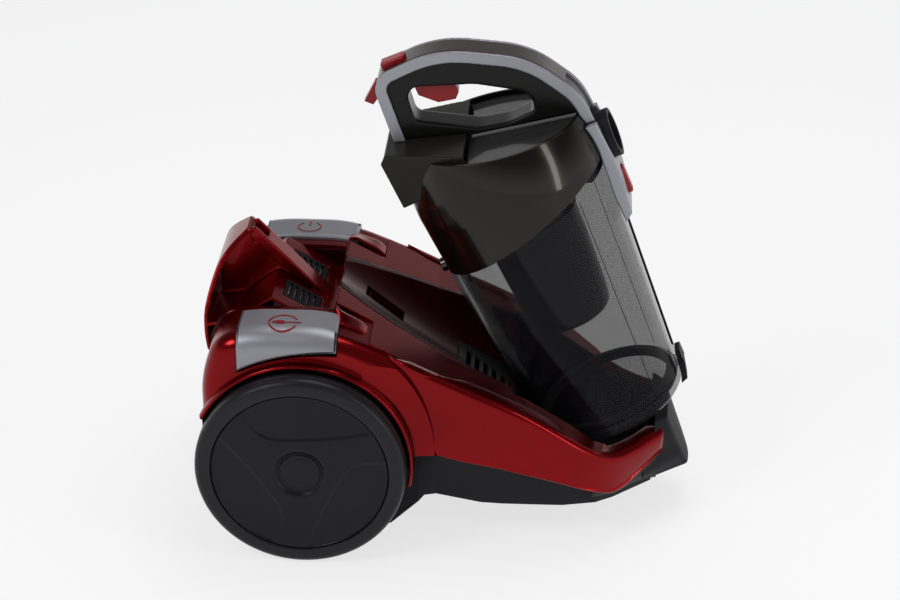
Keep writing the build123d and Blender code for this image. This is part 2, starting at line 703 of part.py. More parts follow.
def cyclone_cone():
    return turned([(16, SHROUD_LOW), (18, SHROUD_LOW), (SHROUD_R - 2.2, 140),
                   (SHROUD_R - 2.2, 146), (SHROUD_R - 4.2, 146), (SHROUD_R - 4.2, 141)])


def vortex_finder():
    return turned([(12, 120), (14, 120), (14, 203), (SHROUD_R - 2.2, 203),
                   (SHROUD_R - 2.2, SHROUD_TOP), (12, SHROUD_TOP)])


def filter_frame():
    low, high = SHROUD_TOP + 0.2, FILTER_TOP
    can = turned([(20, low), (SHROUD_R, low), (SHROUD_R, high), (14, high), (14, high - 2),
                  (SHROUD_R - 2, high - 2), (SHROUD_R - 2, low + 2), (20, low + 2)])
    neck = post(0, 0, 17, high - 2, 300) - post(0, 0, 14, high - 3, 301)
    neck -= above(LID_W - LID_DEPTH - WALL - 0.2, -LID_FALL)
    return can + neck


def filter_foam():
    return turned([(0, SHROUD_TOP + 2.4), (SHROUD_R - 2.2, SHROUD_TOP + 2.4),
                   (SHROUD_R - 2.2, FILTER_TOP - 2.4), (0, FILTER_TOP - 2.4)])


def inlet_duct():
    low, high = SOCKET_W - HOSE_BORE / 2 - 5, SOCKET_W + HOSE_BORE / 2 + 4
    ring = cone(-THIN_WALL - 0.2, low, CUP_TOP) + (dome(COLLAR_T + 0.2) & post(0, 0, 120, CUP_TOP,
                                                                              high))
    ring -= post(0, 0, SHROUD_R + 1.5, 0, 400)
    wedge = Polyline((0, 0), (130, -70), (130, 70), close=True)
    duct = ring & extrude(make_face(wedge), 400)
    duct -= above(LID_W - LID_DEPTH - WALL - 0.3, -LID_FALL)
    return duct - bore(AIR_PORT_R, 30, 120)


# ---------------------------------------------------------------- bin: handle
def handle_outer():
    """Side outline of the whole handle with its front arm down to the fairing."""
    top = FilletPolyline((-80, 290), (-74, 368), (-10, 372), (62, 334), (91, 286), (93, 258.5),
                         radius=[20, 100, 90, 60])
    return outline(top, [(70, 258.5), (-5, 258.5)])


def finger_opening():
    """The closed gap that the fingers reach through, above a bar that runs over the lid."""
    ring = FilletPolyline((-54, 316), (-50, 348), (8, 328), (51, 302), (47, 285.5), (22, 283.5),
                          (-4, 288.5), radius=[9, 10, 60, 16, 5, 30, 30], close=True)
    return outline(ring)


def clear_of_bowl(shape):
    """Takes the collar, lid and spout out of a handle piece."""
    shape -= bore(SOCKET_R + GAP, 60, 130)
    shape -= spout_cover()
    return shape - (dome(-0.2) - above(LID_W + 0.2, -LID_FALL))


def below_lid():
    return Pos(0, 0, -BIG) * above(LID_W - LID_DEPTH + 0.2, -LID_FALL)


def handle_face(inset):
    return offset(handle_outer(), -inset) if inset else handle_outer()


BUTTON_U = -52.0
HOOK = [(-58, 343), (-58, 355), (-74, 360), (-90, 347), (-84, 341), (-76, 346)]
HOOK_U = -63.0
HOOK_W = 350.0
HOOK_ANGLE = 8.0
TRIGGER_LIFT = 4.0
BUTTON_DROP = 3.0


def hook_blade(extra, angle=0.0):
    face = outline(HOOK)
    face = offset(face, extra) if extra else face
    blade = Pos(-HOOK_U, 0, -HOOK_W) * slab(face, -5 - extra, 5 + extra)
    return Pos(HOOK_U, 0, HOOK_W) * Rot(0, angle, 0) * blade


def hook_pivot(extra):
    return rod(HOOK_U, HOOK_W, 1.5 + extra, -9 - extra, 9 + extra)


def trigger_solid(extra, lift=0.0):
    face = outline([(-44, 347), (-44, 334), (-30, 321), (-14, 318), (-8, 324), (-8, 338)])
    face = offset(face, extra) if extra else face
    return Pos(0, 0, lift) * slab(face, -7 - extra, 7 + extra)


def button_solid(extra, drop=0.0):
    body = block(BUTTON_U - 11 - extra, BUTTON_U + 11 + extra, -7 - extra, 7 + extra,
                 362 - extra - drop, 374)
    return body


def handle_pockets():
    """Room for the hook, the trigger, the release button and the push rod."""
    room = trigger_solid(SLIDE_GAP) + trigger_solid(SLIDE_GAP, TRIGGER_LIFT)
    room += button_solid(SLIDE_GAP, BUTTON_DROP) + hook_pivot(SHAFT_GAP)
    for share in (0, 0.5, 1):
        room += hook_blade(SLIDE_GAP, share * HOOK_ANGLE)
    return room


def handle_core():
    core = slab(handle_face(COVER_T + 0.2), -HANDLE_HALF, HANDLE_HALF)
    core -= slab(finger_opening(), -40, 40)
    core = clear_of_bowl(core)
    return core - handle_pockets()


def handle_cover():
    band = slab(handle_face(0), -HANDLE_HALF, HANDLE_HALF)
    band -= slab(handle_face(COVER_T), -40, 40)
    band &= above(300, 0)
    band = clear_of_bowl(band)
    return band - handle_pockets()


def handle_trim():
    band = slab(handle_face(0), -TRIM_OUT, -HANDLE_HALF - 0.2)
    band -= slab(handle_face(TRIM_WIDTH), -40, 40)
    band &= above(288, 0) + block(60, 130, -40, 40, 200, 400)
    band -= slab(finger_opening(), -40, 40)
    band = clear_of_bowl(band)
    return two_sided(band)


def push_rod():
    """A thin rod close to the cup's front line, from above the flap latch into the fairing."""
    lean = math.degrees(math.atan(CUP_SLOPE))
    line = Pos(CUP_R + ROD_R + GAP, 0, 0) * Rot(0, lean, 0)
    return line * post(0, 0, ROD_R, 16, 212)


def front_fairing():
    arm = outline([(80, 258), (94.5, 258), (96.5, 228), (96, 200), (92, 166), (84, 160)])
    body = slab(arm, -25.5, 25.5) - bore(SOCKET_R + GAP, 60, 130)
    body -= block(80, 130, -18, 18, 250, 270)
    body -= cup_button_solid(SLIDE_GAP, 3.0)
    body -= cone(COLLAR_GAP + COLLAR_T + 0.2, 100, CUP_TOP + 1)
    return body - dome(-0.2)


def cup_button_solid(extra, depth=0.0):
    return block(93.2 - extra - depth, 99, -6 - extra, 6 + extra, 176 - extra, 204 + extra)


def hose_socket():
    ring = bore(SOCKET_R, 70, SOCKET_OUT) - bore(HOSE_BORE / 2, HOSE_SEAT, 130)
    ring -= bore(AIR_PORT_R, 60, 130)
    ring -= dome(-0.1)
    return ring - cone(COLLAR_GAP + COLLAR_T + 0.1, 100, CUP_TOP + 1)


# ---------------------------------------------------------------- bin: flap and shoe
def flap():
    dish = turned([(0, FLAP_LOW), (CUP_R - 5, FLAP_LOW), (CUP_R - 0.8, -15.5),
                   (CUP_R - 0.8, FLAP_TOP), (CUP_R - 3.6, FLAP_TOP), (CUP_R - 3.6, -12),
                   (0, -12)])
    knuckle = block(FLAP_HINGE_U, -66, -15.5, 15.5, FLAP_HINGE_W - 3.5, FLAP_HINGE_W + 3)
    knuckle += rod(FLAP_HINGE_U, FLAP_HINGE_W, KNUCKLE_R, -15.5, 15.5)
    knuckle -= post(0, 0, CUP_R - 3.6, -12, 0)
    return dish + knuckle - rod(FLAP_HINGE_U, FLAP_HINGE_W, 1.5 + SHAFT_GAP, -40, 40)


def flap_seal():
    return turned([(60, -11.8), (CUP_R - 4, -11.8), (CUP_R - 4, -5), (CUP_R - 5.5, -3),
                   (60, -3)])


def flap_pin():
    return rod(FLAP_HINGE_U, FLAP_HINGE_W, 1.5, -22, 22)


def flap_latch():
    face = outline([(CUP_R + 3.2, 12), (CUP_R + 7.5, 12), (CUP_R + 7.5, -2), (CUP_R + 4, -19),
                    (CUP_R - 2.5, -22), (CUP_R - 2.5, -20.6), (CUP_R - 0.2, -17.5),
                    (CUP_R + 1.4, 0)])
    return slab(face, -8, 8) - rod(LATCH_U, LATCH_W, 1.5, -20, 20)


def latch_pivot():
    """Two cheeks on the cup's front that carry the latch on a short pin."""
    cheeks = block(CUP_R - 3, CUP_R + 8, 8.5, 11, -2, 10)
    cheeks -= cone(0.0, -20, 40)
    return two_sided(cheeks) + rod(LATCH_U, LATCH_W, 1.5 - SHAFT_GAP, -10, 10)


def pivot_shoe():
    floor = block(-78, -40, -44, 44, SHOE_LOW, SHOE_TOP)
    arms = None
    for side in (-1, 1):
        y = side * (BARREL_IN + BARREL_OUT) / 2
        width = BARREL_OUT - BARREL_IN
        arm = Pos(-81, y, (SHOE_LOW + PIVOT_W) / 2) * Box(8, width, PIVOT_W - SHOE_LOW)
        arm += rod(PIVOT_U, PIVOT_W, BARREL_R, y - width / 2, y + width / 2)
        arms = arm if arms is None else arms + arm
    shoe = floor + arms + block(-85, -74, -40, 40, SHOE_LOW, SHOE_TOP)
    shoe -= cone(SLIDE_GAP, SHOE_TOP, 40)
    return shoe - rod(PIVOT_U, PIVOT_W, PIN_R + SHAFT_GAP, -60, 60)


# ---------------------------------------------------------------- the pieces
keep("lower_chassis", lower_chassis())
keep("nose_bumper", nose_bumper())
both("side_panel", side_panel())
both("upper_shell", upper_shell())
keep("rear_handle", rear_handle())
keep("exhaust_vents", two_sided(vent()))
keep("exhaust_filter", exhaust_filter())
keep("tail_panel", tail_panel())
keep("cord_outlet", cord_outlet())
keep("bonnet", bonnet())
keep("inlet_grille", inlet_grille())
keep("bin_well", bin_well())
keep("pivot_pins", pivot_pins())
keep("motor_can", motor_can())
keep("fan_housing", fan_housing())
keep("rotor", rotor())
keep("motor_mounts", motor_mounts())
keep("cord_drum", cord_drum())
keep("fixed_axles", axle_stubs() + drum_axle())
keep("chassis_screws", chassis_screws())
keep("rewind_pedal", pedal())
keep("power_pedal", mirrored(pedal()))
both("tyre", tyre())
both("hub", hub())
both("cap", cap())
keep("caster_fork", caster_fork())
keep("caster_wheel", caster_wheel())
keep("caster_axle", caster_axle())

keep("cup", cup() + latch_pivot(), "bin")
keep("collar", collar(), "bin")
keep("lid", lid(), "bin")
keep("spout", spout(), "bin")
keep("spout_seal", spout_seal(), "bin")
keep("back_spine", back_spine(), "bin")
keep("cyclone_shroud", cyclone_shroud(), "bin")
keep("cyclone_cone", cyclone_cone(), "bin")
keep("vortex_finder", vortex_finder(), "bin")
keep("filter_frame", filter_frame(), "bin")
keep("filter", filter_foam(), "bin")
keep("inlet_duct", inlet_duct(), "bin")
keep("handle_core", handle_core(), "bin")
keep("handle_cover", handle_cover(), "bin")
keep("handle_trim", handle_trim(), "bin")
keep("front_fairing", front_fairing(), "bin")
keep("hose_socket", hose_socket(), "bin")
keep("release_button", button_solid(0), "bin")
keep("latch_hook", hook_blade(0) + hook_pivot(0), "bin")
keep("trigger", trigger_solid(0), "bin")
keep("push_rod", push_rod(), "bin")
keep("flap_latch", flap_latch(), "bin")
keep("cup_button", cup_button_solid(0), "bin")
keep("flap", flap(), "bin")
keep("flap_seal", flap_seal(), "bin")
keep("flap_pin", flap_pin(), "bin")
keep("pivot_shoe", pivot_shoe(), "bin")

# ---------------------------------------------------------------- written out
os.makedirs("parts", exist_ok=True)
centre = Pos(-(LENGTH / 2 - WHEEL_R), 0, 0)
for name, (shape, frame) in PARTS.items():
    placed = centre * (seat() * shape if frame == "bin" else shape)
    export_step(placed, f"parts/{name}.step")
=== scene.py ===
import bmesh
import bpy
import json
import math
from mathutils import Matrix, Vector

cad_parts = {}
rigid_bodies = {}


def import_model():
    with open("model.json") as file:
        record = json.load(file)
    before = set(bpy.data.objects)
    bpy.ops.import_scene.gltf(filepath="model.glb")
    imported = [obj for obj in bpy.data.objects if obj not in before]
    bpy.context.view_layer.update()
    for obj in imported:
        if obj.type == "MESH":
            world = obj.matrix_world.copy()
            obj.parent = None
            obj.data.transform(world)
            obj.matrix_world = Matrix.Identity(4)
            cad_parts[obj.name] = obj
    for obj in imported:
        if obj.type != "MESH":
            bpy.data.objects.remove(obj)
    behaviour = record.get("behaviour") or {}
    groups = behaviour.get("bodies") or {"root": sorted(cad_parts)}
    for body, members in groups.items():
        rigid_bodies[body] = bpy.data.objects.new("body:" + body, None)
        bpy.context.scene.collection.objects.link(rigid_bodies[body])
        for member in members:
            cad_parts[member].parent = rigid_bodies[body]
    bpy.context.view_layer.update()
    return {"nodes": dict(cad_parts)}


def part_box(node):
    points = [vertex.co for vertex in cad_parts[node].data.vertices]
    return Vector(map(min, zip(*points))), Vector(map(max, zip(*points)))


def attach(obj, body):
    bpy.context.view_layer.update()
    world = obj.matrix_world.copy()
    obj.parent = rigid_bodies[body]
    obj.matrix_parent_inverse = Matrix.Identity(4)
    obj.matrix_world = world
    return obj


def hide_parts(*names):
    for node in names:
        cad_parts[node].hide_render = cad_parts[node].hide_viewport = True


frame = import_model()
NODES = frame["nodes"]
MM = 0.001
AXLE_X, AXLE_Z = -0.130, 0.095      # the rear axle
SIDES = ((-1, "right"), (1, "left"))
REWIND_BODY = NODES["rewind_pedal"].parent.name.split(":")[1]
POWER_BODY = NODES["power_pedal"].parent.name.split(":")[1]


# ---------------------------------------------------------------- node trees
def tree(name):
    """An empty material and small helpers to fill its node tree."""
    mat = bpy.data.materials.new(name)
    mat.use_nodes = True
    nt = mat.node_tree
    nt.nodes.clear()

    def add(kind, **sets):
        node = nt.nodes.new(kind)
        for key, value in sets.items():
            setattr(node, key, value)
        return node

    return mat, nt, add


def dial(node, **values):
    """Constants for a node's inputs, by name with _ for a space."""
    for key, value in values.items():
        node.inputs[key.replace("_", " ")].default_value = value


def noise(nt, add, coords, scale, detail=3.0, rough=0.55, stretch=None):
    tex = add("ShaderNodeTexNoise")
    dial(tex, Scale=scale, Detail=detail, Roughness=rough)
    if stretch:
        mapping = add("ShaderNodeMapping")
        dial(mapping, Scale=stretch)
        nt.links.new(coords, mapping.inputs["Vector"])
        coords = mapping.outputs["Vector"]
    nt.links.new(coords, tex.inputs["Vector"])
    return tex.outputs["Fac"]


def remap(nt, add, value, low, high, out_low, out_high):
    node = add("ShaderNodeMapRange")
    dial(node, From_Min=low, From_Max=high, To_Min=out_low, To_Max=out_high)
    nt.links.new(value, node.inputs["Value"])
    return node.outputs["Result"]


def mix(nt, add, factor, a, b):
    node = add("ShaderNodeMix", data_type="RGBA")
    for socket, value in ((node.inputs[6], a), (node.inputs[7], b)):
        if isinstance(value, tuple):
            socket.default_value = (*value, 1.0)
        else:
            nt.links.new(value, socket)
    nt.links.new(factor, node.inputs[0])
    return node.outputs[2]


EDGE_WEAR_AND_HIGHLIGHT = (0.995, 0.80)           # cosine between soft and true normal: edge wear and painted edge highlight begin, and are full
SCUFF_SCALE = 140.0
DRIFT_SCALE = 9.0
FLAKE_SCALE = 2600.0
HAZE_SCALE = 38.0
HAZE_SPREAD = 0.03                  # how far the haze moves the roughness
WORN_ROUGHER = 0.18                 # what full wear adds to the roughness


def moulded(name, light, deep, worn_and_highlit, rough, radius=0.6, grain=0.0, grain_scale=900.0, metallic=0.0,
            coat=0.0, coat_rough=0.06, specular=0.5, flake=0.0, sheen=0.0, brushed=None):
    """Moulded plastic, lacquer, rubber or metal with soft edges, drift of colour, grain, and edge wear whose
    lighter colour is partly a painted edge highlight.
    """
    mat, nt, add = tree(name)
    out = add("ShaderNodeOutputMaterial")
    shader = add("ShaderNodeBsdfPrincipled")
    nt.links.new(shader.outputs["BSDF"], out.inputs["Surface"])
    coords = add("ShaderNodeTexCoord").outputs["Object"]
    dial(shader, Metallic=metallic, Coat_Weight=coat, Coat_Roughness=coat_rough, Specular_IOR_Level=specular,
         Sheen_Weight=sheen)
    # soft edges, and a mask of them for the edge wear and its painted edge highlight
    rounded = add("ShaderNodeBevel", samples=4)
    dial(rounded, Radius=radius * MM)
    geometry = add("ShaderNodeNewGeometry")
    dot = add("ShaderNodeVectorMath", operation="DOT_PRODUCT")
    nt.links.new(rounded.outputs["Normal"], dot.inputs[0])
    nt.links.new(geometry.outputs["Normal"], dot.inputs[1])
    edge = remap(nt, add, dot.outputs["Value"], *EDGE_WEAR_AND_HIGHLIGHT, 0.0, 1.0)
    scuffs = remap(nt, add, noise(nt, add, coords, SCUFF_SCALE, 4.0), 0.50, 0.80, 0.0, 0.6)
    wear_and_highlight = add("ShaderNodeMath", operation="MULTIPLY")
    nt.links.new(edge, wear_and_highlight.inputs[0])
    nt.links.new(scuffs, wear_and_highlight.inputs[1])
    # colour
    slow = remap(nt, add, noise(nt, add, coords, DRIFT_SCALE), 0.35, 0.65, 0.0, 1.0)
    colour = mix(nt, add, slow, deep, light)
    if flake:
        sparkle = add("ShaderNodeTexVoronoi")
        dial(sparkle, Scale=FLAKE_SCALE)
        nt.links.new(coords, sparkle.inputs["Vector"])
        lit = remap(nt, add, sparkle.outputs["Distance"], 0.0, 0.35, flake, 0.0)
        colour = mix(nt, add, lit, colour, tuple(min(1.0, 2.2 * c + 0.02) for c in light))
    # scuffed edges are lightened towards the worn colour: partly real edge wear, partly a painted edge
    # highlight
    colour = mix(nt, add, wear_and_highlight.outputs["Value"], colour, worn_and_highlit)
    nt.links.new(colour, shader.inputs["Base Color"])
    # roughness
    haze = noise(nt, add, coords, HAZE_SCALE, 5.0, 0.6, brushed)
    smear = remap(nt, add, haze, 0.3, 0.7, rough - HAZE_SPREAD, rough + HAZE_SPREAD)
    dull = add("ShaderNodeMath", operation="MULTIPLY_ADD")
    dull.inputs[1].default_value = WORN_ROUGHER
    nt.links.new(wear_and_highlight.outputs["Value"], dull.inputs[0])
    nt.links.new(smear, dull.inputs[2])
    nt.links.new(dull.outputs["Value"], shader.inputs["Roughness"])
    # relief
    bump = add("ShaderNodeBump")
    dial(bump, Strength=max(grain, 0.02), Distance=0.12 * MM)
    fine = noise(nt, add, coords, grain_scale, 2.0, 0.5, brushed)
    nt.links.new(fine, bump.inputs["Height"])
    nt.links.new(rounded.outputs["Normal"], bump.inputs["Normal"])
    nt.links.new(bump.outputs["Normal"], shader.inputs["Normal"])
    if coat:
        nt.links.new(rounded.outputs["Normal"], shader.inputs["Coat Normal"])
    return mat


def clear(name, tint, rough, alpha, specular):
    """See-through plastic with a faint drift of tint and a smooth skin."""
    mat, nt, add = tree(name)
    out = add("ShaderNodeOutputMaterial")
    shader = add("ShaderNodeBsdfPrincipled")
    nt.links.new(shader.outputs["BSDF"], out.inputs["Surface"])
    coords = add("ShaderNodeTexCoord").outputs["Object"]
    dial(shader, Alpha=alpha, Specular_IOR_Level=specular)
    drift = remap(nt, add, noise(nt, add, coords, 7.0, 2.0), 0.35, 0.65, 0.0, 1.0)
    colour = mix(nt, add, drift, tuple(0.7 * c for c in tint), tint)
    nt.links.new(colour, shader.inputs["Base Color"])
    smear = remap(nt, add, noise(nt, add, coords, 30.0, 4.0), 0.3, 0.7, rough * 0.8, rough * 1.3)
    nt.links.new(smear, shader.inputs["Roughness"])
    return mat


# each third colour is the lighter colour of worn edges, partly real wear and partly a painted edge highlight
RED = moulded("lacquer_red", (0.215, 0.0016, 0.0038), (0.165, 0.0012, 0.0028), (0.26, 0.012, 0.016), 0.25,
              radius=1.2, metallic=0.9, coat=0.14, coat_rough=0.03, flake=0.08, specular=0.2)
MAROON = moulded("lacquer_maroon", (0.042, 0.0012, 0.0024), (0.030, 0.001, 0.002), (0.06, 0.006, 0.008), 0.26,
                 radius=1.0, metallic=0.7, coat=0.09, coat_rough=0.04, flake=0.06, specular=0.12)
CHARCOAL = moulded("plastic_charcoal", (0.0115, 0.011, 0.0135), (0.008, 0.008, 0.010), (0.03, 0.029, 0.03),
                   0.55, radius=0.8, grain=0.30, grain_scale=1100.0, specular=0.12)
TYRE = moulded("plastic_tyre", (0.0135, 0.013, 0.0155), (0.010, 0.010, 0.012), (0.03, 0.03, 0.034), 0.36,
               radius=1.0, grain=0.12, specular=0.22)
HUB = moulded("plastic_hub", (0.0098, 0.0095, 0.0115), (0.0078, 0.0078, 0.0095), (0.025, 0.025, 0.028), 0.36,
              radius=0.8, grain=0.2, specular=0.17)
SILVER = moulded("paint_silver", (0.33, 0.33, 0.365), (0.29, 0.29, 0.325), (0.40, 0.40, 0.44), 0.44,
                 radius=1.4, metallic=0.7, coat=0.15, coat_rough=0.12, flake=0.10, specular=0.25)
MAUVE = moulded("paint_mauve", (0.050, 0.030, 0.030), (0.040, 0.024, 0.024), (0.08, 0.05, 0.05), 0.32,
                radius=0.9, metallic=0.75, coat=0.25, coat_rough=0.08, flake=0.06, specular=0.2)
BRONZE = moulded("paint_bronze", (0.020, 0.0182, 0.0152), (0.016, 0.0146, 0.0122), (0.035, 0.033, 0.029),
                 0.22, radius=0.8, metallic=0.8, coat=0.28, coat_rough=0.03, flake=0.06, specular=0.15)
OLIVE = moulded("plastic_olive", (0.020, 0.0193, 0.0168), (0.016, 0.0155, 0.0135), (0.035, 0.034, 0.03), 0.32,
                radius=0.8, metallic=0.25, grain=0.06, specular=0.14)
LID = moulded("plastic_lid", (0.040, 0.039, 0.040), (0.030, 0.029, 0.030), (0.08, 0.08, 0.08), 0.16,
              radius=0.8, grain=0.03, specular=0.5, coat=0.6, coat_rough=0.04)
SMOKE = clear("clear_smoke", (0.006, 0.006, 0.009), 0.04, 0.37, 0.16)
FLAP = clear("clear_flap", (0.010, 0.010, 0.013), 0.08, 0.48, 0.2)
ACCENT = moulded("plastic_accent", (0.30, 0.0035, 0.006), (0.22, 0.002, 0.004), (0.34, 0.03, 0.03), 0.30,
                 radius=0.6, coat=0.3, coat_rough=0.06, specular=0.2)
BLACK = moulded("plastic_black", (0.0035, 0.0035, 0.005), (0.0025, 0.0025, 0.0035), (0.012, 0.012, 0.014),
                0.16, radius=0.8, coat=0.5, coat_rough=0.03, specular=0.3)
CORE = moulded("plastic_core", (0.0065, 0.0063, 0.0058), (0.005, 0.005, 0.0046), (0.015, 0.015, 0.014), 0.26,
               radius=1.6, metallic=0.1, grain=0.05, specular=0.22)
RUBBER = moulded("rubber_black", (0.014, 0.0135, 0.014), (0.009, 0.009, 0.009), (0.035, 0.035, 0.035), 0.72,
                 radius=0.6, grain=0.5, grain_scale=700.0, specular=0.2, sheen=0.1)
STEEL = moulded("metal_steel", (0.50, 0.49, 0.47), (0.38, 0.37, 0.36), (0.65, 0.65, 0.64), 0.30,
                radius=0.3, metallic=1.0, grain=0.3, brushed=(1.0, 12.0, 1.0))
FOAM = moulded("foam_filter", (0.55, 0.53, 0.47), (0.42, 0.40, 0.35), (0.6, 0.58, 0.52), 0.92,
               radius=0.6, grain=1.0, grain_scale=420.0, specular=0.1, sheen=0.3)
LOOKS = {"red_gloss": RED, "maroon_gloss": MAROON, "charcoal": CHARCOAL, "tyre": TYRE, "hub": HUB,
         "silver": SILVER, "mauve": MAUVE, "bronze": BRONZE, "olive": OLIVE, "lid_grey": LID,
         "smoke": SMOKE, "red_accent": ACCENT, "black_gloss": BLACK, "rubber": RUBBER, "steel": STEEL,
         "foam": FOAM}
SPECIAL = {"flap": FLAP, "handle_core": CORE, "inlet_grille": CORE}
for key, node in NODES.items():
    for held in node.material_slots:
        held.material = SPECIAL.get(key) or LOOKS[held.material.name]


# ---------------------------------------------------------------- making pieces
def finished(name, mesh, look, body, nodes=(), sharp=32.0):
    """A piece from a mesh: smooth shaded, with its look, on its body, and in the place of these nodes."""
    mesh.materials.clear()
    mesh.materials.append(look)
    for face in mesh.polygons:
        face.use_smooth = True
        face.material_index = 0
    mesh.set_sharp_from_angle(angle=math.radians(sharp))
    made = bpy.data.objects.new(name, mesh)
    bpy.context.scene.collection.objects.link(made)
    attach(made, body)
    if nodes:
        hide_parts(*nodes)
    return made


def from_lists(name, points, faces):
    mesh = bpy.data.meshes.new(name)
    mesh.from_pydata(points, [], faces)
    bm = bmesh.new()
    bm.from_mesh(mesh)
    bmesh.ops.recalc_face_normals(bm, faces=bm.faces)
    bm.to_mesh(mesh)
    bm.free()
    return mesh


def quads(rows, count, closed=True, wrapped=False, start=0):
    """Faces between rows of count points: closed joins each row's ends, wrapped the last row to the first."""
    faces = []
    for i in range(rows if wrapped else rows - 1):
        a, b = start + i * count, start + (i + 1) % rows * count
        for j in range(count if closed else count - 1):
            k = (j + 1) % count
            faces.append((a + j, a + k, b + k, b + j))
    return faces


def piece(name, rows, look, body, slot, nodes=(), sharp=60.0, caps=(), **joins):
    """A piece through rows of points, with a flat cap over each row that caps numbers."""
    count = len(rows[0])
    faces = quads(len(rows), count, **joins)
    for row in caps:
        faces.append(tuple(range(row * count, (row + 1) * count)))
    mesh = from_lists(name, [tuple(point) for row in rows for point in row], faces)
    return finished(name, mesh, look, body, nodes, sharp)


def thickened(made, thickness, offset):
    """An open skin gets a wall, in mm: behind it at offset -1, half each way at 0, in front at 1."""
    wall = made.modifiers.new("thick", "SOLIDIFY")
    wall.thickness = thickness * MM
    wall.offset = offset


def rolled(made, width, segments, limit):
    """Real rounding, in mm, of the edges sharper than a limit in degrees."""
    bevel = made.modifiers.new("round", "BEVEL")
    bevel.width = width * MM
    bevel.segments = segments
    bevel.limit_method = "ANGLE"
    bevel.angle_limit = math.radians(limit)
    return bevel


def without_custom_normals(bm, name):
    """The mesh of an edited copy of a CAD node, whose old corner normals no longer hold."""
    mesh = bpy.data.meshes.new(name)
    bm.to_mesh(mesh)
    bm.free()
    if "custom_normal" in mesh.attributes:
        mesh.attributes.remove(mesh.attributes["custom_normal"])
    return mesh


def welded(node):
    """An editable copy of a CAD node with its doubled points joined."""
    bm = bmesh.new()
    bm.from_mesh(NODES[node].data)
    bmesh.ops.remove_doubles(bm, verts=bm.verts, dist=2e-6)
    return bm


def softened(node, look, body, width):
    """The node's own shape with its edges rounded for real."""
    bm = welded(node)
    bmesh.ops.dissolve_limit(bm, angle_limit=math.radians(1.0), verts=bm.verts, edges=bm.edges)
    made = finished(node + "_soft", without_custom_normals(bm, node + "_soft"), look, body, (node,))
    bevel = rolled(made, width, 3, 35.0)
    bevel.use_clamp_overlap = True
    bevel.miter_outer = "MITER_ARC"
    made.modifiers.new("weights", "WEIGHTED_NORMAL").keep_sharp = True
    return made


def melted(node, look, body, voxel, passes):
    """The node's own shape with all its edges rolled over, as a deep-drawn moulding has them."""
    draft = bpy.data.objects.new("draft", NODES[node].data.copy())
    bpy.context.scene.collection.objects.link(draft)
    remesh = draft.modifiers.new("even", "REMESH")
    remesh.mode = "VOXEL"
    remesh.voxel_size = voxel * MM
    roll = draft.modifiers.new("roll", "SMOOTH")
    roll.factor = 0.5
    roll.iterations = passes
    graph = bpy.context.evaluated_depsgraph_get()
    mesh = bpy.data.meshes.new_from_object(draft.evaluated_get(graph))
    bpy.data.objects.remove(draft)
    return finished(node + "_soft", mesh, look, body, (node,), 180.0)


# ---------------------------------------------------------------- lines and outlines
def smooth(value, low, high):
    """0 below low, 1 above high and an eased rise between; high may be the smaller one."""
    t = min(1.0, max(0.0, (value - low) / (high - low)))
    return t * t * (3 - 2 * t)


def bent(table, x):
    """A smooth line through (x, value) pairs."""
    last = len(table) - 1
    if x <= table[0][0]:
        return table[0][1]
    if x >= table[last][0]:
        return table[last][1]
    i = max(k for k in range(last) if table[k][0] <= x)

    def slope(k):
        a, b = table[max(k - 1, 0)], table[min(k + 1, last)]
        return (b[1] - a[1]) / (b[0] - a[0])

    x0, x1 = table[i][0], table[i + 1][0]
    rise = x1 - x0
    t = (x - x0) / rise
    return ((2 * t**3 - 3 * t**2 + 1) * table[i][1] + (t**3 - 2 * t**2 + t) * rise * slope(i)
            + (3 * t**2 - 2 * t**3) * table[i + 1][1] + (t**3 - t**2) * rise * slope(i + 1))


def shares(steps):
    """Even shares from 0 to 1."""
    return [k / steps for k in range(steps + 1)]


def full_turn(steps):
    """Even angles round a circle."""
    return [2 * math.pi * i / steps for i in range(steps)]


def eased(before, corner, after, reach, steps):
    """Points round a corner, from a reach before it to a reach after it."""
    start = corner + (before - corner).normalized() * reach
    end = corner + (after - corner).normalized() * reach
    return [start * (1 - t) ** 2 + corner * 2 * t * (1 - t) + end * t * t for t in shares(steps)]


def pillow(angle, power):
    """A point of a square of half width 1 with its corners rounded, the squarer the smaller the power."""
    return tuple(math.copysign(abs(c) ** power, c) for c in (math.cos(angle), math.sin(angle)))


# ---------------------------------------------------------------- wheels and wheel arches
# profiles are (radius, distance from the middle plane), in mm
TYRE_PROFILE = [(80.3, 140.0), (80.3, 143.7), (80.7, 144.3), (81.6, 144.6), (88.6, 144.6), (90.6, 144.2),
                (92.4, 143.1), (93.9, 141.4), (94.7, 139.4), (95.0, 137.0), (95.0, 134.6), (94.4, 134.2),
                (94.4, 133.6), (95.0, 133.2), (95.0, 129.6), (94.6, 128.2), (93.6, 127.4), (81.0, 127.4)]
DISC_RINGS = [2, 6, 10, 13, 14.2, 14.6, 15.2, 15.8, 16.4, 17.4, 18.0, 18.4, 18.8, 19.3, 20.2, 21.5, 23, 24.6]
DISC_RINGS += [26 + 1.0 * i for i in range(52)] + [78.0, 78.6, 79.1, 79.7]
DISC_BACK = [(79.7, 139.2), (80.7, 138.6), (80.7, 128.2), (79.7, 127.8), (79.7, 116.5), (78.4, 115.2),
             (76.4, 115.2), (75.6, 116.5), (75.2, 138.0), (17.0, 138.8), (16.0, 137.8), (15.0, 114.2),
             (13.8, 113.3), (7.4, 113.3)]
LIP_PROFILE = [(96.8, 118.6), (96.8, 125.2), (97.3, 126.1), (98.4, 126.5), (99.6, 126.1), (100.4, 125.0),
               (100.9, 122.4), (101.4, 120.3), (101.4, 118.6)]
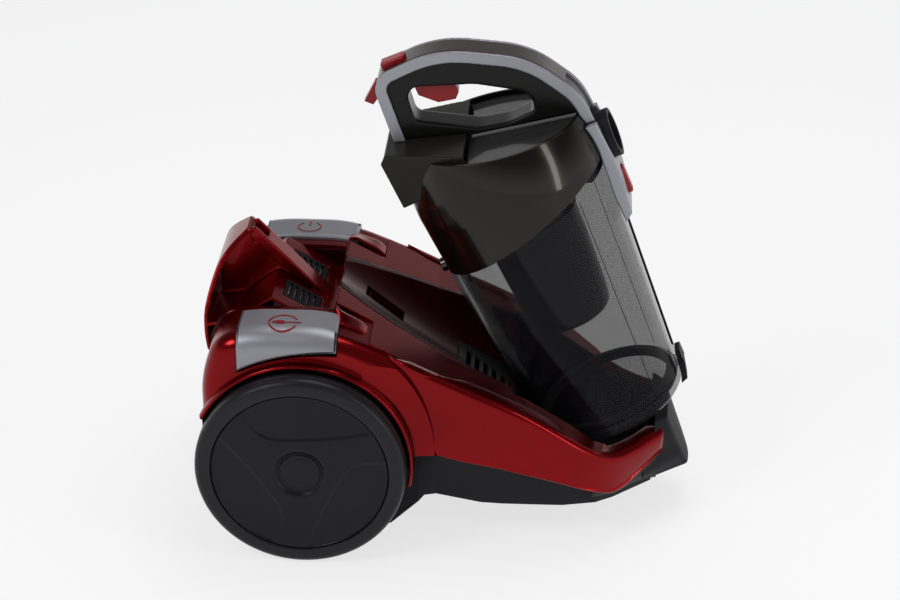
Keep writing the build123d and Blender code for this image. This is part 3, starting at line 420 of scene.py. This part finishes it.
# the liner's third number is how far back of the axle it may reach
LINER_PROFILE = [(97.2, 118.4, 88.6), (97.2, 112.4, 88.6), (96.0, 111.9, 88.4), (60.0, 111.9, 88.4)]


def on_wheel(radius, angle, out, side):
    """A point about the rear axle, given in mm, in metres."""
    return (AXLE_X + radius * MM * math.cos(angle), side * out * MM, AXLE_Z + radius * MM * math.sin(angle))


def pocket_depth(x, z):
    """How deep inside one of the three pressed fields a point of the wheel disc lies, in mm."""
    best = -50.0
    edge = 35.0
    corner = 15.0
    for turn in (0.0, 120.0, 240.0):
        a = math.radians(-turn)
        px = x * math.cos(a) - z * math.sin(a)
        pz = x * math.sin(a) + z * math.cos(a)
        over = pz - edge - 0.035 * px - 0.0016 * px * px * (px > 0)
        beside = (px + edge) * 0.86 + (pz - edge) * 0.50
        p, q = corner - over, corner - beside
        if p > 0 and q > 0:
            inside = corner - math.hypot(p, q)
        else:
            inside = min(over, beside)
        best = max(best, inside)
    return best


def disc_height(x, z):
    """The wheel disc's face, in mm from the middle plane: crowned, with pockets, a hub ring and a rim."""
    r = math.hypot(x, z)
    level = 143.6 + 0.5 * smooth(r, 78, 20)
    level -= 1.7 * smooth(pocket_depth(x, z), -1.6, 1.6) * smooth(r, 79.0, 77.4)
    level -= 3.6 * smooth(r, 24.5, 20.0)
    level += 1.7 * smooth(r, 19.0, 18.2)
    level -= 0.5 * smooth(abs(r - 15.2), 0.9, 0.3)
    level -= 1.0 * smooth(r, 78.6, 79.6)
    return level


def wheel(side, body, tag):
    rows = [[on_wheel(r, a, out, side) for r, out in TYRE_PROFILE] for a in full_turn(128)]
    piece("tyre_face_" + tag, rows, TYRE, body, "tyre", ("tyre_" + tag,), 50.0, wrapped=True)
    angles = full_turn(360)
    count = len(angles)
    points = [on_wheel(0, 0, disc_height(0, 0), side)]
    for r in DISC_RINGS:
        points += [on_wheel(r, a, disc_height(r * math.cos(a), r * math.sin(a)), side) for a in angles]
    for r, out in DISC_BACK:
        points += [on_wheel(r, a, out, side) for a in angles]
    faces = [(0, 1 + i, 1 + (i + 1) % count) for i in range(count)]
    faces += quads(len(DISC_RINGS) + len(DISC_BACK), count, start=1)
    mesh = from_lists("wheel_disc_" + tag, points, faces)
    finished("wheel_disc_" + tag, mesh, HUB, body, ("hub_" + tag, "cap_" + tag), 40.0)


def arch_lip(side, tag):
    """The rolled edge of the cowl that comes down beside the tyre."""
    rows = []
    for t in shares(72):
        a = math.radians(-12 + 166 * t)
        rows.append([on_wheel(r, a, out, side) for r, out in LIP_PROFILE])
    piece("arch_lip_" + tag, rows, RED, "chassis", "red_gloss", (), 45.0, caps=(0, 72))


def arch_liner(side, tag):
    """The dark inner wall of the wheel arch, behind the wheel."""
    rows = []
    for t in shares(60):
        a = math.radians(-8 + 176 * t)
        behind = max(1e-9, -math.cos(a))
        rows.append([on_wheel(min(r, reach / behind), a, out, side) for r, out, reach in LINER_PROFILE])
    made = piece("arch_liner_" + tag, rows, CHARCOAL, "chassis", "charcoal", (), 45.0, closed=False)
    thickened(made, 1.2, 0.0)


for hand, tag in SIDES:
    wheel(hand, "wheel_" + tag, tag)
    arch_lip(hand, tag)
    arch_liner(hand, tag)

melted("rear_handle", RED, "chassis", 0.8, 6)
melted("spout", OLIVE, "bin", 0.8, 4)
melted("handle_core", CORE, "bin", 0.8, 34)
melted("handle_trim", SILVER, "bin", 0.6, 12)
melted("front_fairing", SILVER, "bin", 0.8, 8)
melted("handle_cover", MAUVE, "bin", 0.6, 6)
softened("release_button", ACCENT, "bin_release", 1.6)
trigger = softened("trigger", ACCENT, "flap_trigger", 1.4)
# the trigger is drawn in all round, so it clears the softened handle when it is pulled
inset = trigger.modifiers.new("inset", "DISPLACE")
inset.strength = -0.7 * MM
inset.mid_level = 0.0


# ---------------------------------------------------------------- pedals
def pedal_face(node, body, tag):
    """The pedal's plate with a raised, bevelled face."""
    bm = welded(node)
    bm.faces.ensure_lookup_table()
    bm.normal_update()

    def rank(face):
        return face.calc_center_median().z + 0.002 * face.normal.z + 0.5 * min(face.calc_area(), 1e-3)

    seed = max(bm.faces, key=rank)
    top, queue = {seed}, [seed]
    while queue:
        here = queue.pop()
        for edge in here.edges:
            for face in edge.link_faces:
                if face not in top and face.normal.angle(here.normal) < math.radians(24):
                    top.add(face)
                    queue.append(face)
    for inwards, up in ((0.0, 1.0), (2.2, 2.0)):
        bmesh.ops.inset_region(bm, faces=list(top), thickness=inwards * MM, depth=up * MM,
                               use_even_offset=True)
    mesh = without_custom_normals(bm, "pedal_face_" + tag)
    made = finished("pedal_face_" + tag, mesh, SILVER, body, (node,), 30.0)
    rolled(made, 0.7, 2, 28)
    made.modifiers.new("weights", "WEIGHTED_NORMAL").keep_sharp = True
    return made


def pressed_on(target, marks, name, body):
    """A thin red mark, given as pairs of (x, y) lines seen from above, laid on the face of another piece."""
    graph = bpy.context.evaluated_depsgraph_get()
    graph.update()
    solid = target.evaluated_get(graph)
    above = 0.6
    points, faces = [], []
    for line_a, line_b in marks:
        faces += quads(2, len(line_a), closed=False, start=len(points))
        for x, y in line_a + line_b:
            _, place, normal, _ = solid.ray_cast(Vector((x, y, above)), Vector((0, 0, -1)))
            points.append(tuple(place + normal * 0.35 * MM))
    made = finished(name, from_lists(name, points, faces), ACCENT, body, (), 60.0)
    thickened(made, 0.4, 0.0)


def oval(x, y, long, wide, start, end, steps=64):
    turn = [math.radians(start + (end - start) * t) for t in shares(steps)]
    return [(x + long * math.cos(a), y + wide * math.sin(a)) for a in turn]


def bar(x0, y0, x1, y1, w0, w1, steps=8):
    """Two long sides of a straight mark with the given half widths at its ends."""
    dx, dy = x1 - x0, y1 - y0
    size = math.hypot(dx, dy)
    nx, ny = -dy / size, dx / size
    sides = ([], [])
    for t in shares(steps):
        w = w0 + (w1 - w0) * t
        sides[0].append((x0 + dx * t + nx * w, y0 + dy * t + ny * w))
        sides[1].append((x0 + dx * t - nx * w, y0 + dy * t - ny * w))
    return sides


def plug_mark(target, body, tag, x, y):
    """A ring broken on one side round a plug with two pins and its lead."""
    marks = [(oval(x, y, 0.0135, 0.0135, 25, 335), oval(x, y, 0.0120, 0.0120, 25, 335)),
             bar(x - 0.0062, y, x + 0.0005, y, 0.0024, 0.0030),
             bar(x - 0.0100, y + 0.0014, x - 0.0060, y + 0.0014, 0.0005, 0.0005),
             bar(x - 0.0100, y - 0.0014, x - 0.0060, y - 0.0014, 0.0005, 0.0005),
             bar(x + 0.0003, y, x + 0.0160, y, 0.0007, 0.0007)]
    pressed_on(target, marks, "plug_mark_" + tag, body)


def power_mark(target, body, tag, x, y):
    """A ring open towards the left wheel with a short bar in the gap."""
    marks = [(oval(x, y, 0.0115, 0.0105, 125, 415), oval(x, y, 0.0100, 0.0090, 125, 415)),
             bar(x, y + 0.0020, x, y + 0.0125, 0.0008, 0.0008)]
    pressed_on(target, marks, "power_mark_" + tag, body)


# ---------------------------------------------------------------- walls inside the body's openings
# height of the wheel arch mouldings' top over the distance from the rear axle, in mm
COWL_TOP = [(-90, 120), (-88.5, 176), (-84, 198), (-74, 213.5), (-58, 218.6), (-36, 220.6), (0, 221.0),
            (26, 220.6), (52, 212), (76, 200)]
DECK_EDGE = [(28.3, 226.0), (61.0, 208.0), (112.0, 182.0)]
SLOT = (48.6, 83.4, 9.4)            # the catch slot's two ends and half width, with a little over


def from_axle(x, y, z):
    """A point in mm from under the rear axle, in metres."""
    return (AXLE_X + x * MM, y * MM, z * MM)


def rear_edge_height():
    """The bonnet's rear edge: its place along X, and its height over the distance from the middle plane."""
    verts = NODES["bonnet"].data.vertices
    back = min(v.co.x for v in verts)
    edge = {}
    for v in verts:
        if v.co.x < back + 0.4 * MM:
            y = round(v.co.y / MM, 1)
            edge[y] = max(edge.get(y, 0.0), v.co.z / MM)
    return back, sorted(edge.items())


def valley_wall():
    """The curved wall between the vents' floor and the bonnet's rear edge."""
    back, edge = rear_edge_height()
    half, foot = 61.8, 198.0
    rows = []
    for across in shares(48):
        y = half * (2 * across - 1)
        top = bent(edge, y) - 0.4
        row = []
        for t in shares(6):
            lean = 5.0 * (1 - t) ** 2 + 4.0 * (abs(y) / 62.0) ** 3 * (1 - t)
            row.append((back - (0.5 + lean) * MM, y * MM, (foot + (top - foot) * t) * MM))
        rows.append(row)
    made = piece("valley_wall", rows, RED, "chassis", "red_gloss", closed=False)
    thickened(made, 0.8, 1.0)


def cowl_wall(side, tag):
    """The inner side wall of the wheel arch moulding, towards the vents."""
    rows = []
    for x in [-89.3 + 1.0 * i for i in range(8)] + [-80 + 4.0 * i for i in range(28)]:
        top = bent(COWL_TOP, x) - 1.2
        low = 150.0 + 44.0 * smooth(x, -78.0, -56.0)
        rows.append([from_axle(x, side * 62.9, low + (top - low) * t) for t in shares(4)])
    made = piece("cowl_wall_" + tag, rows, MAROON, "chassis", "maroon_gloss", closed=False)
    thickened(made, 0.8, 0.0)


def deck_fillet(side, tag):
    """The strip that joins the bonnet's edge to the wheel arch moulding."""
    rows = []
    back = DECK_EDGE[0][0]
    for x in [26.5, 27.2, back] + [30 + 2.0 * i for i in range(19)]:
        inner_z = bent(DECK_EDGE, x) - 0.5 - 6.0 * smooth(back - x, 0.0, 1.8)
        outer_z = min(bent(COWL_TOP, x) + 0.2, inner_z)
        sink = 4.5 * smooth(x, 50.0, 66.0)
        row = []
        for t in shares(8):
            y = 62.6 + 7.92 * smooth(x, 25.0, 34.0) + 17.5 * t
            row.append(from_axle(x, side * y, inner_z - sink + (outer_z - inner_z) * smooth(t, 0, 1)))
        rows.append(row)
    made = piece("deck_fillet_" + tag, rows, RED, "chassis", "red_gloss", closed=False)
    thickened(made, 2.2, side)


def slot_edge(x):
    """Height of the bonnet's underside at an end of its slot, in mm."""
    return min(v.co.z / MM for v in NODES["bonnet"].data.vertices
               if abs(v.co.x / MM - AXLE_X / MM - x) < 1.5 and abs(v.co.y / MM) < 10.5)


def catch_tray():
    """The moulded tray that closes the slot in the bonnet."""
    rear, fore = slot_edge(49.0), slot_edge(83.0)
    slope = (fore - rear) / 34.0
    start, end, half = SLOT
    middle, level = (start + end) / 2, (rear + fore) / 2
    rows = []
    for drop, draw in [(-0.6, 0.0), (-1.6, 0.0), (-8.0, 0.6), (-9.6, 1.6), (-10.0, 3.0)]:
        row = []
        for a in full_turn(40):
            long, wide = pillow(a, 0.35)
            dx = long * ((end - start) / 2 - draw)
            row.append(from_axle(middle + dx, wide * (half - draw), level + slope * dx + drop))
        rows.append(row)
    made = piece("catch_tray", rows, MAROON, "chassis", "maroon_gloss", (), 50.0, caps=(4,))
    thickened(made, 1.2, 1.0)


# ---------------------------------------------------------------- painted side skins and nose
# lines of the body over the distance from the rear axle, in mm
REACH = [(78, 112.0), (180, 112.0), (212, 110.6), (238, 107.6), (260, 101.5), (274, 94.5), (286, 85.8),
         (300, 73.0), (314, 59.5), (327, 46.5)]
RIM = [(78, 200.2), (112, 183.6), (158, 162.4), (200, 142.2), (236, 119.8), (258, 104.4), (272, 95.6),
       (282, 91.4), (292, 89.8), (306, 90.4), (318, 92.6), (327, 94.0)]
SPLIT = [(78, 199.0), (86, 188.5), (94, 176.6), (102, 162.8), (108, 150.0), (113, 134.5), (117, 116.0),
         (119.5, 99.0)]
SILL = [(119.5, 99.0), (146, 92.4), (178, 86.0), (206, 78.6), (232, 70.6), (256, 60.6), (272, 54.0),
        (282, 51.0), (293, 53.6), (308, 61.0), (320, 67.4), (327, 71.0)]
CHEEK_FOOT_Z = [(262, 42.0), (290, 37.0), (320, 33.5)]
CHEEK_FOOT_Y = [(262, 84.0), (290, 56.5), (320, 33.0)]


def sill(x):
    """Lower edge of the side skin: the curved split behind, the sill in front."""
    return bent(SPLIT if x < SILL[0][0] else SILL, x)


def on_body(x, depth, z, side):
    """A point at a depth inside the body's outer face, in metres."""
    fall = bent(REACH, x + 0.5) - bent(REACH, x - 0.5)
    size = math.hypot(1.0, fall)
    return from_axle(x + fall / size * depth, side * (bent(REACH, x) - depth / size), z)


def skin_section(x):
    """The side skin's section as (depth, height) pairs, from its lower edge up, over and back."""
    low, top = sill(x), bent(RIM, x)
    height = top - low
    roll = min(8.5, 0.45 * height)
    wide = 17.0 * smooth(x, 108, 156) + 3.0
    section = [(2.6, low + 0.4), (1.4, low), (0.5, low + 0.3), (0.1, low + 1.2)]
    for share in shares(16)[1:]:
        z = low + 1.2 + (height - roll - 1.2) * share
        section.append((1.6 * (1 - share) ** 2, z) if height > 12 else (0.1, z))
    for share in shares(8)[1:]:
        a = math.radians(90 * share)
        section.append((roll * (1 - math.cos(a)), top - roll * (1 - math.sin(a))))
    fall = 0.3 * smooth(x, 90, 140) + 2.2 * smooth(x, 284, 316)
    level = top - fall
    section += [(0.5 * (roll + wide), top - 0.25 * fall), (wide - 1.5, level), (wide - 0.4, level - 0.5),
                (wide, level - 1.6), (wide, level - 7.0), (wide - 1.6, level - 7.0),
                (wide - 1.8, level - 2.6), (roll + 0.5, top - 2.4), (2.8, top - roll - 0.5)]
    return section


def skin(side, tag):
    """The painted side panel with its rolled top edge and the strip beside the bin's well."""
    stations = [79 + 2.0 * i for i in range(21)] + [121 + 4.0 * i for i in range(30)]
    stations += [240 + 2.0 * i for i in range(43)] + [325.5, 326.4, 327.0]
    heart = 1.5                     # the depth that the section closes round at the nose
    rows = []
    for x in stations:
        closing = 1.0 - smooth(x, 325.0, 327.2) * 0.35
        rows.append([on_body(x, heart + (depth - heart) * closing + heart * (1 - closing), z, side)
                     for depth, z in skin_section(x)])
    piece("side_skin_" + tag, rows, RED, "chassis", "red_gloss", ("side_panel_" + tag,), 50.0,
          caps=(0, len(rows) - 1))


def cheek(side, tag):
    """The dark flank under the painted panel, from its lower edge in to the chassis."""
    rows = []
    for x in [262 + 2.0 * i for i in range(31)]:
        low = sill(x)
        edge = Vector(on_body(x, 1.7, low - 0.4, side))
        foot = Vector(from_axle(x, side * bent(CHEEK_FOOT_Y, x), bent(CHEEK_FOOT_Z, x)))
        row = [on_body(x, 1.7, low + 4.0, side)]
        for t in shares(10):
            bulge = Vector((0, side * 3.2 * MM * math.sin(math.pi * t), 0))
            row.append(edge + (foot - edge) * t + bulge)
        rows.append(row)
    made = piece("cheek_" + tag, rows, CHARCOAL, "chassis", "charcoal", closed=False)
    thickened(made, 1.2, -1.0)


def prow_outline(t):
    """The nose wedge's outline at a share of its height, from one rear corner round to the other."""
    z = 29.0 + 72.0 * t
    flare = smooth(t, -0.02, 0.32)
    edge = 309.0 + 9.0 * smooth(t, 0.52, 0.62)
    half_width = min(36.0 + 24.0 * flare - 13.5 * smooth(t, 0.45, 1.0), bent(REACH, edge) - 1.6)
    back = Vector((edge, -half_width, z + 1.5))
    front = Vector((352.4 - 22.4 * t, -(19.0 + 13.0 * t + 4.0 * flare), z))
    middle = Vector((354.8 - 23.0 * t, 0.0, z))
    corners = [back, front, middle] + [Vector((p.x, -p.y, p.z)) for p in (front, back)]
    line = [corners[0]]
    for before, corner, after, reach in zip(corners, corners[1:], corners[2:], (5.0, 12.0, 5.0)):
        line += eased(before, corner, after, reach, 6)
    return line + [corners[-1]]


def prow():
    """The dark wedge at the nose."""
    levels = [(-0.02, 4.0), (0.0, 1.4), (0.02, 0.3), (0.05, 0.0)]
    levels += [(0.05 + 0.91 * t, 0.0) for t in shares(12)[1:]] + [(0.985, 0.5), (1.0, 1.6)]
    rows = []
    for t, draw in levels:
        centre = Vector((326.0, 0.0, 29.0 + 72.0 * t))
        row = []
        for p in prow_outline(t):
            q = p + (centre - p).normalized() * draw
            row.append(from_axle(q.x, q.y, q.z + 11.0 * smooth(q.x, 305.0, 352.0) * (1.0 - t)))
        rows.append(row)
    piece("prow", rows, CHARCOAL, "chassis", "charcoal", ("nose_bumper",), 40.0, caps=(0, len(rows) - 1))


for hand, tag in SIDES:
    skin(hand, tag)
    cheek(hand, tag)
    cowl_wall(hand, tag)
    deck_fillet(hand, tag)
prow()
valley_wall()
catch_tray()
low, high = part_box("rewind_pedal")
right_pedal = pedal_face("rewind_pedal", REWIND_BODY, "right")
centre_x, centre_y = 0.5 * (low[0] + high[0]), 0.5 * (low[1] + high[1])
plug_mark(right_pedal, REWIND_BODY, "right", centre_x - 0.004, centre_y - 0.003)
low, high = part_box("power_pedal")
left_pedal = pedal_face("power_pedal", POWER_BODY, "left")
centre_x, centre_y = 0.5 * (low[0] + high[0]), 0.5 * (low[1] + high[1])
power_mark(left_pedal, POWER_BODY, "left", centre_x - 0.003, centre_y - 0.006)


# ---------------------------------------------------------------- pieces of the bin
LEAN = math.radians(23.5)
# the pivot, from under the rear axle and in the bin's own upright frame, in mm
PIVOT_X, PIVOT_Z = 200.0, 79.5
PIVOT_U, PIVOT_W = -80.0, -4.0
# (radius, height) pairs of the shroud's skin and of the cone inside it
SHROUD_SKIN = [(45.6, 204.8), (46.0, 203.8), (46.0, 197.5), (45.3, 196.6), (45.1, 189.0), (46.2, 188.2),
               (46.2, 186.4), (45.0, 185.6), (44.2, 160.0), (42.6, 130.0), (40.6, 104.0), (39.2, 90.0),
               (38.4, 85.4), (36.6, 82.8), (34.0, 82.0)]
SHROUD_CONE = [(18.0, 82.0), (16.6, 82.4), (16.0, 84.0), (16.0, 90.0), (34.0, 128.0), (38.0, 150.0),
               (43.0, 200.0), (43.6, 204.8)]
# the mouth ring's section: place along u, half width, lower and upper edge
MOUTH_LOOPS = [(-90.6, 39.6, 259.4, 296.0), (-91.2, 38.8, 260.2, 295.2), (-91.2, 36.4, 262.6, 292.8),
               (-90.2, 35.6, 263.4, 292.0), (-86.0, 35.6, 263.4, 292.0), (-86.0, 39.6, 259.4, 296.0)]
BEAD = [(0.0, -0.6), (0.5, -0.45), (0.7, 0.0), (0.5, 0.45), (0.0, 0.6)]


def in_bin(u, v, w):
    """A point of the bin's upright frame (u forwards, v left, w up, in mm) in the room, in metres."""
    du, dw = u - PIVOT_U, w - PIVOT_W
    return from_axle(PIVOT_X + du * math.cos(LEAN) - dw * math.sin(LEAN), v,
                     PIVOT_Z + du * math.sin(LEAN) + dw * math.cos(LEAN))


def shroud():
    """The tapered dark shroud with a bead near its top and the hollow cone inside it."""
    rows = [[in_bin(r * math.cos(a), r * math.sin(a), w) for r, w in SHROUD_SKIN + SHROUD_CONE]
            for a in full_turn(96)]
    piece("shroud_body", rows, BLACK, "bin", "black_gloss", ("cyclone_shroud", "cyclone_cone"), 35.0,
          wrapped=True)


def mouth_ring():
    """The soft seal let into the spout's mouth."""
    rows = []
    for u, half, low, high in MOUTH_LOOPS:
        corners = [Vector((0, v, w)) for v, w in ((-half, low), (half, low), (half, high), (-half, high))]
        row = []
        for i, corner in enumerate(corners):
            row += [in_bin(u, p.y, p.z) for p in eased(corners[i - 1], corner, corners[(i + 1) % 4], 4.0, 4)]
        rows.append(row)
    piece("mouth_ring", rows, RUBBER, "bin", "rubber", ("spout_seal",), 40.0, wrapped=True)


def cup_rib(side, tag):
    """A fine upright bead on the cup, to one side of its front."""
    angle = math.radians(46.0) * side
    c, s = math.cos(angle), math.sin(angle)
    rows = []
    for t in shares(24):
        w = -3.0 + 212.0 * t
        radius = 70.85 + 0.067 * w
        rows.append([in_bin((radius + out) * c - along * s, (radius + out) * s + along * c, w)
                     for out, along in BEAD])
    piece("cup_rib_" + tag, rows, SMOKE, "bin", "smoke", caps=(0, 24))


def cup_accent():
    """The red button let into the fairing under the hose socket."""
    rows = []
    for u, draw in [(93.4, 0.0), (96.4, 0.0), (97.4, 0.7), (97.9, 2.2)]:
        row = []
        for a in full_turn(36):
            v, w = pillow(a, 0.45)
            row.append(in_bin(u, v * (5.8 - draw), 190.0 + w * (13.8 - draw)))
        rows.append(row)
    piece("cup_accent", rows, ACCENT, "cup_release", "red_accent", ("cup_button",), 50.0, caps=(0, 3))


shroud()
mouth_ring()
for hand, tag in SIDES:
    cup_rib(hand, tag)
cup_accent()


# ---------------------------------------------------------------- floor, light and camera
def seen_directly(nt):
    """1 where a camera, glossy or transmission ray meets the floor or the backdrop."""
    path = nt.nodes.new("ShaderNodeLightPath")
    seen = path.outputs["Is Camera Ray"]
    for other in ("Is Glossy Ray", "Is Transmission Ray"):
        either = nt.nodes.new("ShaderNodeMath")
        either.operation = "MAXIMUM"
        nt.links.new(seen, either.inputs[0])
        nt.links.new(path.outputs[other], either.inputs[1])
        seen = either.outputs["Value"]
    return seen


def stage_floor():
    mesh = bpy.data.meshes.new("floor")
    mesh.from_pydata([(-6, -6, 0), (6, -6, 0), (6, 6, 0), (-6, 6, 0)], [], [(0, 1, 2, 3)])
    floor = bpy.data.objects.new("floor", mesh)
    bpy.context.scene.collection.objects.link(floor)
    floor.location.z = -0.4 * MM    # just under the wheels, so that nothing is coplanar
    mat, nt, add = tree("floor_pale")
    out = add("ShaderNodeOutputMaterial")
    shader = add("ShaderNodeBsdfPrincipled")
    dial(shader, Roughness=0.9, Specular_IOR_Level=0.1)
    coords = add("ShaderNodeTexCoord").outputs["Object"]
    tint = mix(nt, add, noise(nt, add, coords, 3.0), (0.88, 0.88, 0.885), (0.91, 0.91, 0.915))
    nt.links.new(tint, shader.inputs["Base Color"])
    pale = add("ShaderNodeEmission")
    dial(pale, Color=(1.0, 1.0, 1.0, 1.0))
    share = add("ShaderNodeMath", operation="MULTIPLY")
    share.inputs[1].default_value = 0.72
    nt.links.new(seen_directly(nt), share.inputs[0])
    both = add("ShaderNodeMixShader")
    nt.links.new(share.outputs["Value"], both.inputs["Fac"])
    nt.links.new(shader.outputs["BSDF"], both.inputs[1])
    nt.links.new(pale.outputs["Emission"], both.inputs[2])
    nt.links.new(both.outputs["Shader"], out.inputs["Surface"])
    mesh.materials.append(mat)


def studio():
    world = bpy.data.worlds.new("studio")
    bpy.context.scene.world = world
    world.use_nodes = True
    nt = world.node_tree
    nt.nodes.clear()
    out = nt.nodes.new("ShaderNodeOutputWorld")
    plain = nt.nodes.new("ShaderNodeBackground")
    dial(plain, Color=(0.97, 0.98, 1.0, 1.0), Strength=0.42)
    # the backdrop is white low down and falls off to grey overhead
    place = nt.nodes.new("ShaderNodeTexCoord")
    split = nt.nodes.new("ShaderNodeSeparateXYZ")
    fall = nt.nodes.new("ShaderNodeValToRGB")
    fall.color_ramp.elements[0].position = 0.06
    fall.color_ramp.elements[0].color = (1.0, 1.0, 1.0, 1.0)
    fall.color_ramp.elements[1].position = 0.42
    fall.color_ramp.elements[1].color = (0.14, 0.14, 0.145, 1.0)
    nt.links.new(place.outputs["Generated"], split.inputs["Vector"])
    nt.links.new(split.outputs["Z"], fall.inputs["Fac"])
    shown = nt.nodes.new("ShaderNodeBackground")
    dial(shown, Strength=1.0)
    nt.links.new(fall.outputs["Color"], shown.inputs["Color"])
    blend = nt.nodes.new("ShaderNodeMixShader")
    nt.links.new(seen_directly(nt), blend.inputs["Fac"])
    nt.links.new(plain.outputs["Background"], blend.inputs[1])
    nt.links.new(shown.outputs["Background"], blend.inputs[2])
    nt.links.new(blend.outputs["Shader"], out.inputs["Surface"])


def lamp(name, place, target, size, power, long=None):
    light = bpy.data.lights.new(name, "AREA")
    light.energy = power
    light.shape = "RECTANGLE"
    light.size = size
    light.size_y = long or size
    light.color = (1.0, 0.99, 0.98)
    held = bpy.data.objects.new(name, light)
    bpy.context.scene.collection.objects.link(held)
    held.location = place
    held.rotation_euler = (Vector(target) - Vector(place)).to_track_quat("-Z", "Y").to_euler()


def photo_camera():
    """The camera solved from the photograph."""
    data = bpy.data.cameras.new("camera")
    data.lens = 88.0
    data.sensor_width = 36.0
    data.clip_start = 0.05
    data.clip_end = 50.0
    camera = bpy.data.objects.new("camera", data)
    bpy.context.scene.collection.objects.link(camera)
    camera.location = (0.1026, -1.7915, 1.1528)
    camera.rotation_euler = (math.radians(62.0), 0.0, math.radians(3.4))
    bpy.context.scene.camera = camera


stage_floor()
studio()
lamp("key_left", (-1.3, -1.1, 1.7), (0, 0, 0.2), 0.7, 13.0)
lamp("top_soft", (0.3, 0.5, 2.1), (0, 0, 0.2), 1.1, 14.0)
lamp("strip_right", (1.5, -0.9, 0.9), (0, 0, 0.2), 0.22, 7.0, 1.3)
photo_camera()
bpy.context.scene.view_settings.view_transform = "Standard"
